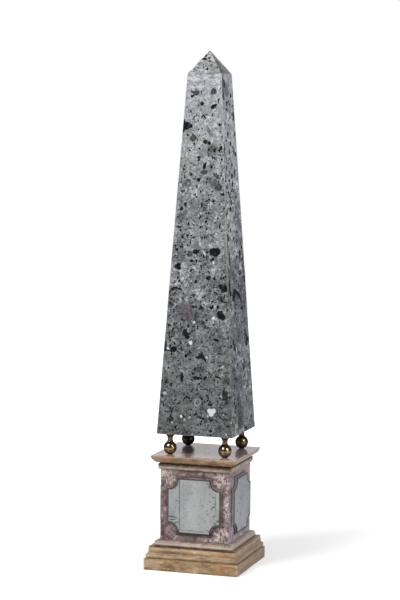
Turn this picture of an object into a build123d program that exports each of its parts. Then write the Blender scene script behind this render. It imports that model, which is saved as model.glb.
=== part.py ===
"""A marble obelisk for a mantelpiece or hall table.

A tapering shaft, veneered in breccia, stands on four turned brass ball feet. Under it is a
pedestal: a moulded cap, a necking, a square die with a raised tablet on each side, a foot slab,
a base moulding and a plinth. Millimetres, +Z up. The origin is the centre of the underside of
the plinth, the front faces -Y.
"""

import os

from build123d import *

# ---- die: core, four mitred slabs, a framed tablet on each --------------------------------
die_width = 134.0
die_height = 132.0
die_slab_thickness = 12.0

tablet_side_border = 15.0  # from the die's upright corners to the crest of the frame
tablet_end_border = 14.0  # from the top and the bottom of the die
tablet_notch = 19.5  # how far each corner notch reaches along the side
tablet_step = 4.0  # shoulder at each end of the hollow quarter round
frame_crest = 2.5  # width of the crest
frame_skirt = 1.5  # how far the lower step stands out beyond the crest
frame_skirt_height = 2.0
frame_height = 5.8
panel_height = 5.2
strip_width = 21.3  # the narrow piece at the left of the front panel

# ---- plinth and base moulding; each projection is measured from the face of the die --------
plinth_projection = 24.5
plinth_height = 22.0
plinth_edge = 0.8  # worn chamfer round the top and the upright corners

base_recess_projection = 20.0  # shadow gap above the plinth
base_recess_height = 2.0
base_fillet_projection = 21.6  # rounded band above the gap
base_fillet_height = 5.6
base_fascia_projection = 17.4  # foot of the plain upper band, above the cove
base_fascia_draw = 0.9  # how far that band draws in on its way up
base_fascia_height = 9.0
base_moulding_height = 22.0

# ---- foot slab under the die --------------------------------------------------------------
foot_slab_projection = 9.0
foot_slab_height = 11.0
foot_slab_edge_height = 5.2  # upright part of the edge, below the quarter round
foot_slab_step = 0.8  # upright part above the quarter round

# ---- necking and cap ----------------------------------------------------------------------
necking_projection = 4.0
necking_height = 13.0
necking_round = 3.5  # quarter round at the bottom of the necking
necking_recess_projection = 1.5  # shadow gap under the cap
necking_recess_height = 1.8

cap_projection = 16.0
cap_height = 14.0
cap_edge_height = 4.5  # nearly upright band at the top of the edge
cap_edge_draw = 1.4  # how far that band draws in on its way down
cap_soffit_projection = 4.5

# ---- shaft and pyramidion -----------------------------------------------------------------
shaft_foot_width = 147.0
shaft_head_width = 65.2
shaft_height = 664.5
shaft_slab_thickness = 6.0
sole_thickness = 8.0
pyramidion_height = 42.0
tip_width = 1.6  # blunt tip

# ---- ball feet ----------------------------------------------------------------------------
foot_inset = 20.2  # from the faces of the shaft's foot to the middle of each ball
foot_height = 39.5
ball_diameter = 24.6
pad_diameter = 9.0
neck_diameter = 9.2
collar_diameter = 17.4
collar_thickness = 1.6

# ---- widths that follow -------------------------------------------------------------------
plinth_width = die_width + 2 * plinth_projection
base_recess_width = die_width + 2 * base_recess_projection
base_fillet_width = die_width + 2 * base_fillet_projection
base_fascia_width = die_width + 2 * base_fascia_projection
foot_slab_width = die_width + 2 * foot_slab_projection
necking_width = die_width + 2 * necking_projection
necking_recess_width = die_width + 2 * necking_recess_projection
cap_width = die_width + 2 * cap_projection
cap_soffit_width = die_width + 2 * cap_soffit_projection
tablet_width = die_width - 2 * tablet_side_border
tablet_height = die_height - 2 * tablet_end_border
foot_spacing = shaft_foot_width - 2 * foot_inset

# ---- levels, from the surface upward ------------------------------------------------------
base_level = plinth_height
foot_slab_level = base_level + base_moulding_height
die_level = foot_slab_level + foot_slab_height
necking_level = die_level + die_height
cap_level = necking_level + necking_height
foot_level = cap_level + cap_height
shaft_level = foot_level + foot_height
pyramidion_level = shaft_level + shaft_height
die_middle = die_level + die_height / 2

# each side of the object and its turn about the upright axis, from the front
sides = {"front": 0, "right": 90, "back": 180, "left": 270}
corners = {"front_right": (1, -1), "back_right": (1, 1), "back_left": (-1, 1), "front_left": (-1, -1)}

os.makedirs("parts", exist_ok=True)


def keep(piece, name):
    """Label the finished piece and write it to its own file."""
    piece.part.label = name
    export_step(piece.part, f"parts/{name}.step")


def facing(turn, distance, height):
    """Plane that looks outward on one side: local x runs along the side, local y up."""
    outward = Vector(0, -1, 0).rotate(Axis.Z, turn)
    along = Vector(1, 0, 0).rotate(Axis.Z, turn)
    return Plane(origin=outward * distance + Vector(0, 0, height), x_dir=along, z_dir=outward)


def square_moulding(half_profile, reach):
    """Square block with one moulded edge all round.

    half_profile draws the right half of the section, from the axis out and back to the axis.
    The same section runs along X and along Y, and what the two share is mitred at the corners.
    """
    with BuildPart() as moulding:
        with BuildSketch(Plane.XZ):
            with BuildLine():
                half_profile()
                mirror(about=Plane.YZ)
            make_face()
        extrude(amount=reach, both=True)
        with BuildSketch(Plane.YZ):
            with BuildLine():
                half_profile()
                mirror(about=Plane.YZ)
            make_face()
        extrude(amount=reach, both=True, mode=Mode.INTERSECT)
    return moulding


def base_profile():
    """Shadow gap, rounded fillet, cove and a fascia that leans in a little."""
    bottom = base_level
    top = bottom + base_moulding_height
    fillet_bottom = bottom + base_recess_height
    fillet_top = fillet_bottom + base_fillet_height
    fascia_bottom = top - base_fascia_height
    recess = base_recess_width / 2
    fillet_out = base_fillet_width / 2
    fascia_out = base_fascia_width / 2
    cove_width = fillet_out - fascia_out
    cove_height = fascia_bottom - fillet_top
    Line((0, bottom), (recess, bottom))
    Line((recess, bottom), (recess, fillet_bottom))
    ThreePointArc(
        (recess, fillet_bottom), (fillet_out, (fillet_bottom + fillet_top) / 2), (recess, fillet_top)
    )
    ThreePointArc(
        (recess, fillet_top),
        (fascia_out + cove_width * 0.2, fillet_top + cove_height * 0.45),
        (fascia_out, fascia_bottom),
    )
    Line((fascia_out, fascia_bottom), (fascia_out - base_fascia_draw, top))
    Line((fascia_out - base_fascia_draw, top), (0, top))


def foot_slab_profile():
    """Upright edge with a quarter round and a small step above it."""
    bottom = foot_slab_level
    edge_top = bottom + foot_slab_edge_height
    top = bottom + foot_slab_height
    round_height = foot_slab_height - foot_slab_edge_height - foot_slab_step
    edge = foot_slab_width / 2
    step = edge - round_height
    Line((0, bottom), (edge, bottom))
    Line((edge, bottom), (edge, edge_top))
    RadiusArc((edge, edge_top), (step, edge_top + round_height), -round_height)
    Line((step, edge_top + round_height), (step, top))
    Line((step, top), (0, top))


def necking_profile():
    """Quarter round, upright band and a recess under the cap."""
    bottom = necking_level
    top = bottom + necking_height
    recess_bottom = top - necking_recess_height
    band_bottom = bottom + necking_round
    Line((0, bottom), (necking_width / 2 - necking_round, bottom))
    RadiusArc(
        (necking_width / 2 - necking_round, bottom), (necking_width / 2, band_bottom), -necking_round
    )
    Line((necking_width / 2, band_bottom), (necking_width / 2, recess_bottom))
    Line((necking_width / 2, recess_bottom), (necking_recess_width / 2, recess_bottom))
    Line((necking_recess_width / 2, recess_bottom), (necking_recess_width / 2, top))
    Line((necking_recess_width / 2, top), (0, top))


def cap_profile():
    """Flat soffit, ovolo and a nearly upright edge."""
    bottom = cap_level
    top = bottom + cap_height
    edge_bottom = top - cap_edge_height
    ovolo_out = cap_width / 2 - cap_edge_draw
    ovolo_in = cap_soffit_width / 2
    ovolo_height = edge_bottom - bottom
    Line((0, bottom), (ovolo_in, bottom))
    ThreePointArc(
        (ovolo_in, bottom),
        (ovolo_in + (ovolo_out - ovolo_in) * 0.62, bottom + ovolo_height * 0.42),
        (ovolo_out, edge_bottom),
    )
    Line((ovolo_out, edge_bottom), (cap_width / 2, top))
    Line((cap_width / 2, top), (0, top))


def tablet_outline(inset):
    """Tablet with a stepped, hollow quarter round in each corner, drawn in from the crest."""
    width = tablet_width - 2 * inset
    height = tablet_height - 2 * inset
    shoulder = 2 * (tablet_step - inset)
    Rectangle(width, height)
    with GridLocations(width, height, 2, 2):
        Rectangle(shoulder, 2 * tablet_notch, mode=Mode.SUBTRACT)
        Rectangle(2 * tablet_notch, shoulder, mode=Mode.SUBTRACT)
    with GridLocations(tablet_width - 2 * tablet_step, tablet_height - 2 * tablet_step, 2, 2):
        Circle(tablet_notch - tablet_step + inset, mode=Mode.SUBTRACT)


def mitred_slab(turn, bottom, top, bottom_width, top_width, thickness):
    """Slab on one side of a tapering square, mitred at both upright edges."""
    with BuildPart() as slab:
        for level, width in ((bottom, bottom_width), (top, top_width)):
            outer = width / 2
            inner = outer - thickness
            with BuildSketch(Plane(origin=(0, 0, level), x_dir=Vector(1, 0, 0).rotate(Axis.Z, turn))):
                with BuildLine():
                    Polyline((-outer, -outer), (outer, -outer), (inner, -inner), (-inner, -inner), close=True)
                make_face()
        loft(ruled=True)
    return slab


def tapered_block(bottom, top, bottom_width, top_width):
    """Square block that tapers evenly from bottom to top."""
    with BuildPart() as block:
        with BuildSketch(Plane.XY.offset(bottom)):
            Rectangle(bottom_width, bottom_width)
        with BuildSketch(Plane.XY.offset(top)):
            Rectangle(top_width, top_width)
        loft(ruled=True)
    return block


# ---- pedestal -----------------------------------------------------------------------------
with BuildPart() as plinth:
    with BuildSketch():
        Rectangle(plinth_width, plinth_width)
    extrude(amount=plinth_height)
    upright_edges = plinth.edges().filter_by(Axis.Z)
    top_edges = plinth.faces().sort_by(Axis.Z)[-1].edges()
    chamfer(upright_edges + top_edges, length=plinth_edge)
keep(plinth, "plinth")

base_moulding = square_moulding(base_profile, base_fillet_width)
keep(base_moulding, "base_moulding")

foot_slab = square_moulding(foot_slab_profile, foot_slab_width)
keep(foot_slab, "die_foot_slab")

die_core = tapered_block(
    die_level, necking_level, die_width - 2 * die_slab_thickness, die_width - 2 * die_slab_thickness
)
keep(die_core, "die_core")

for side, turn in sides.items():
    die_slab = mitred_slab(turn, die_level, necking_level, die_width, die_width, die_slab_thickness)
    keep(die_slab, f"die_slab_{side}")

    with BuildPart() as frame:
        with BuildSketch(facing(turn, die_width / 2, die_middle)):
            tablet_outline(-frame_skirt)
        extrude(amount=frame_skirt_height)
        with BuildSketch(facing(turn, die_width / 2, die_middle)):
            tablet_outline(0)
        extrude(amount=frame_height)
        with BuildSketch(facing(turn, die_width / 2, die_middle)):
            tablet_outline(frame_crest)
        extrude(amount=frame_height, mode=Mode.SUBTRACT)
    keep(frame, f"frame_{side}")

    with BuildPart() as panel:
        with BuildSketch(facing(turn, die_width / 2, die_middle)):
            tablet_outline(frame_crest)
        extrude(amount=panel_height)
        if side == "front":
            # the front panel is pieced: its joint runs from top to bottom
            joint = facing(turn + 90, strip_width + frame_crest - tablet_width / 2, die_middle)
            split(bisect_by=joint, keep=Keep.TOP)
    keep(panel, f"panel_{side}")

with BuildPart() as panel_strip:
    with BuildSketch(facing(sides["front"], die_width / 2, die_middle)):
        tablet_outline(frame_crest)
    extrude(amount=panel_height)
    strip_joint = facing(sides["right"], strip_width + frame_crest - tablet_width / 2, die_middle)
    split(bisect_by=strip_joint, keep=Keep.BOTTOM)
keep(panel_strip, "panel_front_strip")

necking = square_moulding(necking_profile, necking_width)
keep(necking, "necking")

cap = square_moulding(cap_profile, cap_width)
keep(cap, "cap")

# ---- ball feet ----------------------------------------------------------------------------
ball_radius = ball_diameter / 2
ball_middle = foot_level + ball_radius
pad_top = ball_middle - (ball_radius**2 - (pad_diameter / 2) ** 2) ** 0.5
neck_bottom = ball_middle + (ball_radius**2 - (neck_diameter / 2) ** 2) ** 0.5
collar_bottom = shaft_level - collar_thickness
flare = (collar_diameter - neck_diameter) / 2

for corner, (x_sign, y_sign) in corners.items():
    foot_x = x_sign * foot_spacing / 2
    foot_y = y_sign * foot_spacing / 2
    with BuildPart() as foot:
        with BuildSketch(Plane(origin=(foot_x, foot_y, 0), x_dir=(1, 0, 0), z_dir=(0, -1, 0))):
            with BuildLine():
                Line((0, foot_level), (pad_diameter / 2, foot_level))
                Line((pad_diameter / 2, foot_level), (pad_diameter / 2, pad_top))
                ThreePointArc(
                    (pad_diameter / 2, pad_top),
                    (ball_radius, ball_middle),
                    (neck_diameter / 2, neck_bottom),
                )
                Line((neck_diameter / 2, neck_bottom), (neck_diameter / 2, collar_bottom - flare))
                RadiusArc(
                    (neck_diameter / 2, collar_bottom - flare), (collar_diameter / 2, collar_bottom), flare
                )
                Line((collar_diameter / 2, collar_bottom), (collar_diameter / 2, shaft_level))
                Line((collar_diameter / 2, shaft_level), (0, shaft_level))
                Line((0, shaft_level), (0, foot_level))
            make_face()
        revolve(axis=Axis((foot_x, foot_y, 0), (0, 0, 1)))
    keep(foot, f"ball_foot_{corner}")

# ---- shaft --------------------------------------------------------------------------------
sole_top = shaft_level + sole_thickness
taper = (shaft_foot_width - shaft_head_width) / shaft_height
core_foot_width = shaft_foot_width - 2 * shaft_slab_thickness
core_seat_width = core_foot_width - taper * sole_thickness
core_head_width = shaft_head_width - 2 * shaft_slab_thickness

sole = tapered_block(shaft_level, sole_top, core_foot_width, core_seat_width)
keep(sole, "shaft_sole")

shaft_core = tapered_block(sole_top, pyramidion_level, core_seat_width, core_head_width)
keep(shaft_core, "shaft_core")

for side, turn in sides.items():
    shaft_slab = mitred_slab(
        turn, shaft_level, pyramidion_level, shaft_foot_width, shaft_head_width, shaft_slab_thickness
    )
    keep(shaft_slab, f"shaft_slab_{side}")

pyramidion = tapered_block(
    pyramidion_level, pyramidion_level + pyramidion_height, shaft_head_width, tip_width
)
keep(pyramidion, "pyramidion")
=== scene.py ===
"""Visible model of a marble table obelisk.

A shaft veneered in grey breccia stands on four turned brass ball feet. Under it is a pedestal of
six courses: cap, necking, die with a framed tablet on each side, foot slab, base moulding and
plinth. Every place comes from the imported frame. Meshes are sized in metres, and finishes in
millimetres.
"""

import logging
import math
from collections.abc import Iterable, Sequence
from dataclasses import dataclass
from enum import Enum
from functools import cached_property

import bpy
from mathutils import Matrix, Vector


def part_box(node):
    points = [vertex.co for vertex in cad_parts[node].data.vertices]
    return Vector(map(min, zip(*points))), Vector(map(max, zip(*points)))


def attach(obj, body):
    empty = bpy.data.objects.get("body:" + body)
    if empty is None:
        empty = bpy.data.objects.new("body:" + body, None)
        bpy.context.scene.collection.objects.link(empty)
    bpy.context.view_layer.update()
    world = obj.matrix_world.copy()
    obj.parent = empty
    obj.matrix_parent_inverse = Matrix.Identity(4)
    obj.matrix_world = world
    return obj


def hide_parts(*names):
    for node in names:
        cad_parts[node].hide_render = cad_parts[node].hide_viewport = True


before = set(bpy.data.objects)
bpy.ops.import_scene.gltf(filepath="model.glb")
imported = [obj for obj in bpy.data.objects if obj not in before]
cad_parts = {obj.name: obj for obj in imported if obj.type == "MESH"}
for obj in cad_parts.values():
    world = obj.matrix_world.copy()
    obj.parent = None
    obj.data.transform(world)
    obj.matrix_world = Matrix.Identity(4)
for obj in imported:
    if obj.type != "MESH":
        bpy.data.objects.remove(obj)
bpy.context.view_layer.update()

log = logging.getLogger("obelisk")

MM = 0.001
BODY = "root"
WHITE = (1.0, 1.0, 1.0, 1.0)
ZERO = (0.0, 0.0, 0.0)
HAIR = 0.01 * MM
WELD = 0.002 * MM
SHARP = math.radians(18)
ROUNDED = math.radians(35)
SLAB_CUTS = 6 * MM
SLIGHT_BEVEL = 0.45 * MM
SEAM_AT = -28.2

Colour = tuple[float, float, float, float]
Point = tuple[float, float]
Triple = tuple[float, float, float]
Line = tuple[float, float, float, float]


class Side(Enum):
    """The four sides, each with its turn about the upright axis from the front, in degrees."""

    FRONT = 0
    RIGHT = 90
    BACK = 180
    LEFT = 270

    @property
    def word(self) -> str:
        """The side's name as the frame's nodes spell it."""
        return self.name.lower()

    @property
    def turn(self) -> float:
        """The side's turn in radians."""
        return math.radians(self.value)


class Tone(Enum):
    """How a large fragment in the breccia looks against the stone round it."""

    BLACK = "black"
    SMOKE = "smoke"
    FOG = "fog"
    PLUM = "plum"
    WHITE = "white"
    RING = "ring"
    STREAK = "streak"


def shown(red: int, green: int, blue: int) -> Colour:
    """Linear colour of a tone that is given as it shows on a screen.

    Args:
        red, green, blue: The channels, from 0 to 255.

    Returns:
        The colour as shader sockets take it.
    """

    def channel(level: int) -> float:
        """One channel without the screen's curve."""
        part = level / 255
        return part / 12.92 if part <= 0.04045 else ((part + 0.055) / 1.055) ** 2.4

    return channel(red), channel(green), channel(blue), 1.0


# Colour of dirt, and of painted shade in joints, recesses and under overhangs.
DIRT_AND_SHADE = shown(50, 34, 24)


def arc_through(start: Point, middle: Point, end: Point, steps: int) -> list[Point]:
    """Points of the circle's arc that runs from start through middle to end.

    Args:
        start, middle, end: Three points of the arc.
        steps: Number of straight runs that stand for it.

    Returns:
        The points after start, with end as the last.
    """
    a, b, c = (Vector(point) for point in (start, middle, end))
    twice_area = 2 * (a.x * (b.y - c.y) + b.x * (c.y - a.y) + c.x * (a.y - b.y))
    lengths = (a.length_squared, b.length_squared, c.length_squared)
    centre = Vector(
        (
            (lengths[0] * (b.y - c.y) + lengths[1] * (c.y - a.y) + lengths[2] * (a.y - b.y)),
            (lengths[0] * (c.x - b.x) + lengths[1] * (a.x - c.x) + lengths[2] * (b.x - a.x)),
        )
    ) / twice_area
    radius = (a - centre).length
    first, half, last = (math.atan2(p.y - centre.y, p.x - centre.x) for p in (a, b, c))
    sweep = (last - first) % math.tau
    if (half - first) % math.tau > sweep:
        sweep -= math.tau
    angles = (first + sweep * step / steps for step in range(1, steps + 1))
    return [(centre.x + radius * math.cos(t), centre.y + radius * math.sin(t)) for t in angles]


# ---- finishes ------------------------------------------------------------------------------


@dataclass(frozen=True)
class Wire:
    """One output of a node. Sums, differences and products are written as for numbers."""

    owner: "Wiring"
    socket: bpy.types.NodeSocket

    def __add__(self, other: "Value") -> "Wire":
        """This and the other together."""
        return self.owner.maths("ADD", self, other)

    def __sub__(self, other: "Value") -> "Wire":
        """This less the other."""
        return self.owner.maths("SUBTRACT", self, other)

    def __mul__(self, other: "Value") -> "Wire":
        """This times the other."""
        return self.owner.maths("MULTIPLY", self, other)

    def __abs__(self) -> "Wire":
        """This without its sign."""
        return self.owner.maths("ABSOLUTE", self)


Value = float | Triple | Colour | Wire
Inputs = dict[str | int, Value]


class Wiring:
    """A node tree, with short calls for the nodes that materials and surroundings share."""

    tree: bpy.types.NodeTree

    def node(self, kind: str, inputs: Inputs | None = None, **options: object) -> bpy.types.Node:
        """Adds a shader node.

        Args:
            kind: Node type without its ShaderNode prefix.
            inputs: Socket name or number, and the value or wire that feeds it.
            options: Settings of the node.

        Returns:
            The new node.
        """
        made = self.tree.nodes.new("ShaderNode" + kind)
        for option, setting in options.items():
            setattr(made, option, setting)
        for socket, value in (inputs or {}).items():
            self.lead(value, made.inputs[socket])
        return made

    def lead(self, value: Value, socket: bpy.types.NodeSocket) -> None:
        """Leads a wire into a socket, or sets the socket to a plain value.

        Args:
            value: The wire or the value.
            socket: Where it goes.
        """
        if isinstance(value, Wire):
            self.tree.links.new(value.socket, socket)
        else:
            socket.default_value = value

    def out(
        self, kind: str, inputs: Inputs | None = None, output: str | int = 0, **options: object
    ) -> Wire:
        """One output of a new node."""
        return Wire(self, self.node(kind, inputs, **options).outputs[output])

    def maths(self, operation: str, *values: Value) -> Wire:
        """Result of one Math node."""
        return self.out("Math", dict(enumerate(values)), operation=operation)

    def vectors(self, operation: str, *values: Value, output: str | int = 0) -> Wire:
        """Result of one Vector Math node."""
        return self.out("VectorMath", dict(enumerate(values)), output, operation=operation)

    def span(self, value: Wire, *ends: Value, ease: str = "SMOOTHSTEP") -> Wire:
        """Value from one end to the other, mapped from 0 to 1 or to two more ends, and held there."""
        return self.out("MapRange", dict(enumerate((value, *ends))), interpolation_type=ease)

    def slope(self, value: Wire, *ends: Value) -> Wire:
        """The same as a span, in a straight line."""
        return self.span(value, *ends, ease="LINEAR")

    def any_of(self, masks: Iterable[Wire]) -> Wire | None:
        """The strongest of several masks.

        Args:
            masks: The masks, from 0 to 1.

        Returns:
            One mask, or None when there are none.
        """
        strongest = None
        for mask in masks:
            strongest = self.maths("MAXIMUM", strongest, mask) if strongest else mask
        return strongest


@dataclass
class Finish(Wiring):
    """A procedural material, with short calls for its patterns. All its sizes are millimetres."""

    name: str

    @cached_property
    def material(self) -> bpy.types.Material:
        """The material, which is painted when it is first asked for.

        Returns:
            The painted material.
        """
        made = bpy.data.materials.new(self.name)
        made.use_nodes = True
        self.tree = made.node_tree
        self.tree.nodes.clear()
        self.shader = self.node("BsdfPrincipled")
        self.tree.links.new(self.shader.outputs["BSDF"], self.node("OutputMaterial").inputs["Surface"])
        metres = self.out("TexCoord", output="Object")
        self.place = self.moved(metres, stretch=(1 / MM,) * 3)
        self.x, self.y, self.up = self.axes(self.place)
        self.paint()
        return made

    def paint(self) -> None:
        """Fills the shader. Each finish has its own way."""
        raise NotImplementedError

    def feed(self, socket: str, value: Value) -> None:
        """Fills one socket of the principled shader."""
        self.lead(value, self.shader.inputs[socket])

    def axes(self, vector: Wire) -> tuple[Wire, ...]:
        """The three parts of a vector."""
        return tuple(Wire(self, part) for part in self.node("SeparateXYZ", {0: vector}).outputs)

    def moved(
        self,
        vector: Wire,
        shift: Triple = ZERO,
        turn: Triple = ZERO,
        stretch: Triple = (1, 1, 1),
        kind: str = "POINT",
    ) -> Wire:
        """Vector stretched, turned and shifted.

        Args:
            vector: The vector.
            shift, turn, stretch: By how much. Turns are in degrees.
            kind: POINT, or TEXTURE for the way back.

        Returns:
            The moved vector.
        """
        radians = tuple(math.radians(angle) for angle in turn)
        inputs = {"Vector": vector, "Location": shift, "Rotation": radians, "Scale": stretch}
        return self.out("Mapping", inputs, vector_type=kind)

    def noise(
        self, vector: Wire, size: float, detail: float = 3, roughness: float = 0.55, distortion: float = 0
    ) -> Wire:
        """Soft noise from 0 to 1 whose lumps are about one size across."""
        inputs = {"Vector": vector, "Scale": 1 / size, "Detail": detail, "Roughness": roughness}
        return self.out("TexNoise", {**inputs, "Distortion": distortion})

    def warped(self, vector: Wire, size: float, amount: float, detail: float = 2) -> Wire:
        """Vector pushed about by noise.

        Args:
            vector: The vector.
            size: Size of the noise's lumps.
            amount: About twice the farthest push.
            detail: How fine the noise is.

        Returns:
            The pushed vector.
        """
        push = self.out("TexNoise", {"Vector": vector, "Scale": 1 / size, "Detail": detail}, 1)
        centred = self.vectors("SUBTRACT", push, (0.5,) * 3)
        return self.vectors("MULTIPLY_ADD", centred, (2 * amount,) * 3, vector)

    def cells(self, vector: Wire, size: float) -> tuple[Wire, tuple[Wire, ...]]:
        """Distance to the middle of a cell, and three numbers from 0 to 1 drawn for it."""
        made = self.node("TexVoronoi", {"Vector": vector, "Scale": 1 / size})
        return Wire(self, made.outputs["Distance"]), self.axes(Wire(self, made.outputs["Color"]))

    def border(self, vector: Wire, size: float) -> Wire:
        """Distance to the edge of a cell, as a part of the spacing."""
        inputs = {"Vector": vector, "Scale": 1 / size}
        return self.out("TexVoronoi", inputs, "Distance", feature="DISTANCE_TO_EDGE")

    def between(self, factor: Value, a: Value, b: Value) -> Wire:
        """Number mixed from a to b."""
        return self.out("Mix", {0: factor, 2: a, 3: b}, data_type="FLOAT")

    def blend(self, factor: Value, a: Value, b: Value, mode: str = "MIX") -> Wire:
        """Colour mixed from a to b."""
        return self.out("Mix", {0: factor, 6: a, 7: b}, 2, data_type="RGBA", blend_type=mode)

    def tint(self, colour: Wire, by: Value, amount: Value = 1.0) -> Wire:
        """Colour seen through another, wholly or in part."""
        return self.blend(amount, colour, by, "MULTIPLY")

    def shade(self, colour: Wire, by: Wire) -> Wire:
        """Colour made darker or lighter by a factor."""
        return self.tint(colour, self.out("CombineColor", {0: by, 1: by, 2: by}))

    def mottle(self, colour: Wire, part: Wire, darkest: float, lightest: float) -> Wire:
        """Colour made darker and lighter by noise, between two factors."""
        return self.shade(colour, self.slope(part, 0.3, 0.7, darkest, lightest))

    def ramp(self, value: Wire, *stops: tuple[float, ...]) -> Wire:
        """Colour read from a ramp.

        Args:
            value: Number from 0 to 1.
            stops: Place, lowest first, and either a colour as it shows on a screen or a grey level.

        Returns:
            The ramp's colour.
        """
        made = self.node("ValToRGB", {0: value})
        elements = made.color_ramp.elements
        while len(elements) < len(stops):
            elements.new(0.5)
        for element, (place, *tone) in zip(elements, stops):
            element.position = place
            element.color = shown(*tone) if len(tone) == 3 else (*tone * 3, 1.0)
        return Wire(self, made.outputs[0])

    def clasts(
        self, vector: Wire, size: float, share: float, smallest: float, largest: float, soft: float = 0.05
    ) -> Wire:
        """Mask of separate lumps of stone, from 0 outside to 1 inside.

        Args:
            vector: Where the pattern is read.
            size: Spacing of the lumps.
            share: Part of the places that hold one.
            smallest, largest: Radius of a lump, as a part of the spacing.
            soft: Width of a lump's edge, as a part of the spacing.

        Returns:
            The mask.
        """
        distance, (chance, scatter, _) = self.cells(vector, size)
        inside = self.span(self.slope(scatter, 0, 1, smallest, largest) - distance, -soft, soft)
        return inside * self.maths("LESS_THAN", chance, share)

    def shards(
        self, vector: Wire, size: float, share: Value, shrink: float = 0.12, soft: float = 0.04
    ) -> Wire:
        """Mask of separate angular pieces of stone, from 0 outside to 1 inside.

        Args:
            vector: Where the pattern is read.
            size: Spacing of the pieces.
            share: Part of the places that hold one.
            shrink: How far a piece is drawn in from its neighbours, as a part of the spacing.
            soft: Width of its edge, as a part of the spacing.

        Returns:
            The mask.
        """
        chance = self.cells(vector, size)[1][0]
        inside = self.span(self.border(vector, size), shrink - soft, shrink + soft)
        return inside * self.maths("LESS_THAN", chance, share)

    def veins(self, vector: Wire, size: float, width: float) -> Wire:
        """Mask of thin winding lines, where noise passes through its middle value."""
        return self.span(abs(self.noise(vector, size, 2) - 0.5), 0, width, 1, 0)

    def spot(
        self, vector: Wire, centre: Triple, half: Triple, tilt: Triple = ZERO, soft: float = 0.25
    ) -> Wire:
        """Mask of one oval spot.

        Args:
            vector: Where the mask is read.
            centre: Middle of the spot.
            half: Half of its size along each axis.
            tilt: Its turn, in degrees.
            soft: Width of its edge, as a part of the half size.

        Returns:
            The mask, 1 inside and 0 outside.
        """
        local = self.moved(vector, centre, tilt, half, "TEXTURE")
        return self.span(self.vectors("LENGTH", local, output="Value"), 1 + soft / 2, 1 - soft / 2)

    def distance(self, vector: Wire, centre: Triple) -> Wire:
        """Distance from a point."""
        return self.vectors("DISTANCE", vector, centre, output="Value")

    def dot(self, vector: Wire, centre: Triple, radius: float, soft: float = 0.3) -> Wire:
        """Mask of one round spot, cheaper than an oval one."""
        return self.span(self.distance(vector, centre), radius * (1 + soft / 2), radius * (1 - soft / 2))

    def aside(self, pick: str) -> Wire:
        """The MAXIMUM or MINIMUM of the distances from the axis, across and along."""
        return self.maths(pick, abs(self.x), abs(self.y))

    def sideways(self, in_front: float, at_the_side: float) -> Wire:
        """Number that differs between the front or back and the two sides of a square block."""
        return self.span(abs(self.x) - abs(self.y), -2, 2, in_front, at_the_side)

    def lined(self, colour: Wire, lines: Sequence[Line], shade: Colour) -> Wire:
        """Colour with dirt and painted shade, or wear and painted highlights, along level lines.

        Args:
            colour: The clean colour.
            lines: Level of each line, how far it reaches, and how strong it is in front and at
                the sides, from 0 to 1.
            shade: Colour of the dirt and painted shade, or of the worn stone and painted highlight.

        Returns:
            The lined colour.
        """
        patchy = self.span(self.noise(self.place, 14, 2), 0.3, 0.6, 0.65, 1.0)
        for level, reach, in_front, at_the_side in lines:
            near = self.span(abs(self.up - level), reach * 0.4, reach, 1, 0)
            near *= self.sideways(in_front, at_the_side)
            colour = self.blend(near * patchy, colour, shade)
        return colour

    def surface(
        self,
        colour: Value,
        roughness: Value,
        gloss: float,
        height: Wire,
        depth: float,
        strength: float = 0.5,
    ) -> None:
        """Fills the shader's main sockets.

        Args:
            colour: Its colour.
            roughness: How rough it is, from 0 to 1.
            gloss: How strongly it reflects.
            height: Height from 0 to 1 of its fine relief.
            depth: How far the relief stands proud in the shading.
            strength: Strength of the relief.
        """
        self.feed("Base Color", colour)
        self.feed("Roughness", roughness)
        self.feed("Specular IOR Level", gloss)
        inputs = {"Height": height, "Distance": depth * MM, "Strength": strength}
        self.feed("Normal", self.out("Bump", inputs))


@dataclass(frozen=True)
class Fragment:
    """One large fragment on a face of the shaft. Without a height it is round."""

    tone: Tone
    across: float
    up: float
    width: float
    height: float | None = None
    tilt: float = 0


def fragments(tone: Tone, *rows: tuple[float, ...]) -> list[Fragment]:
    """Fragments of one tone, from rows of across, up, width and, where it needs them, height and tilt."""
    return [Fragment(tone, *row) for row in rows]


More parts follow.
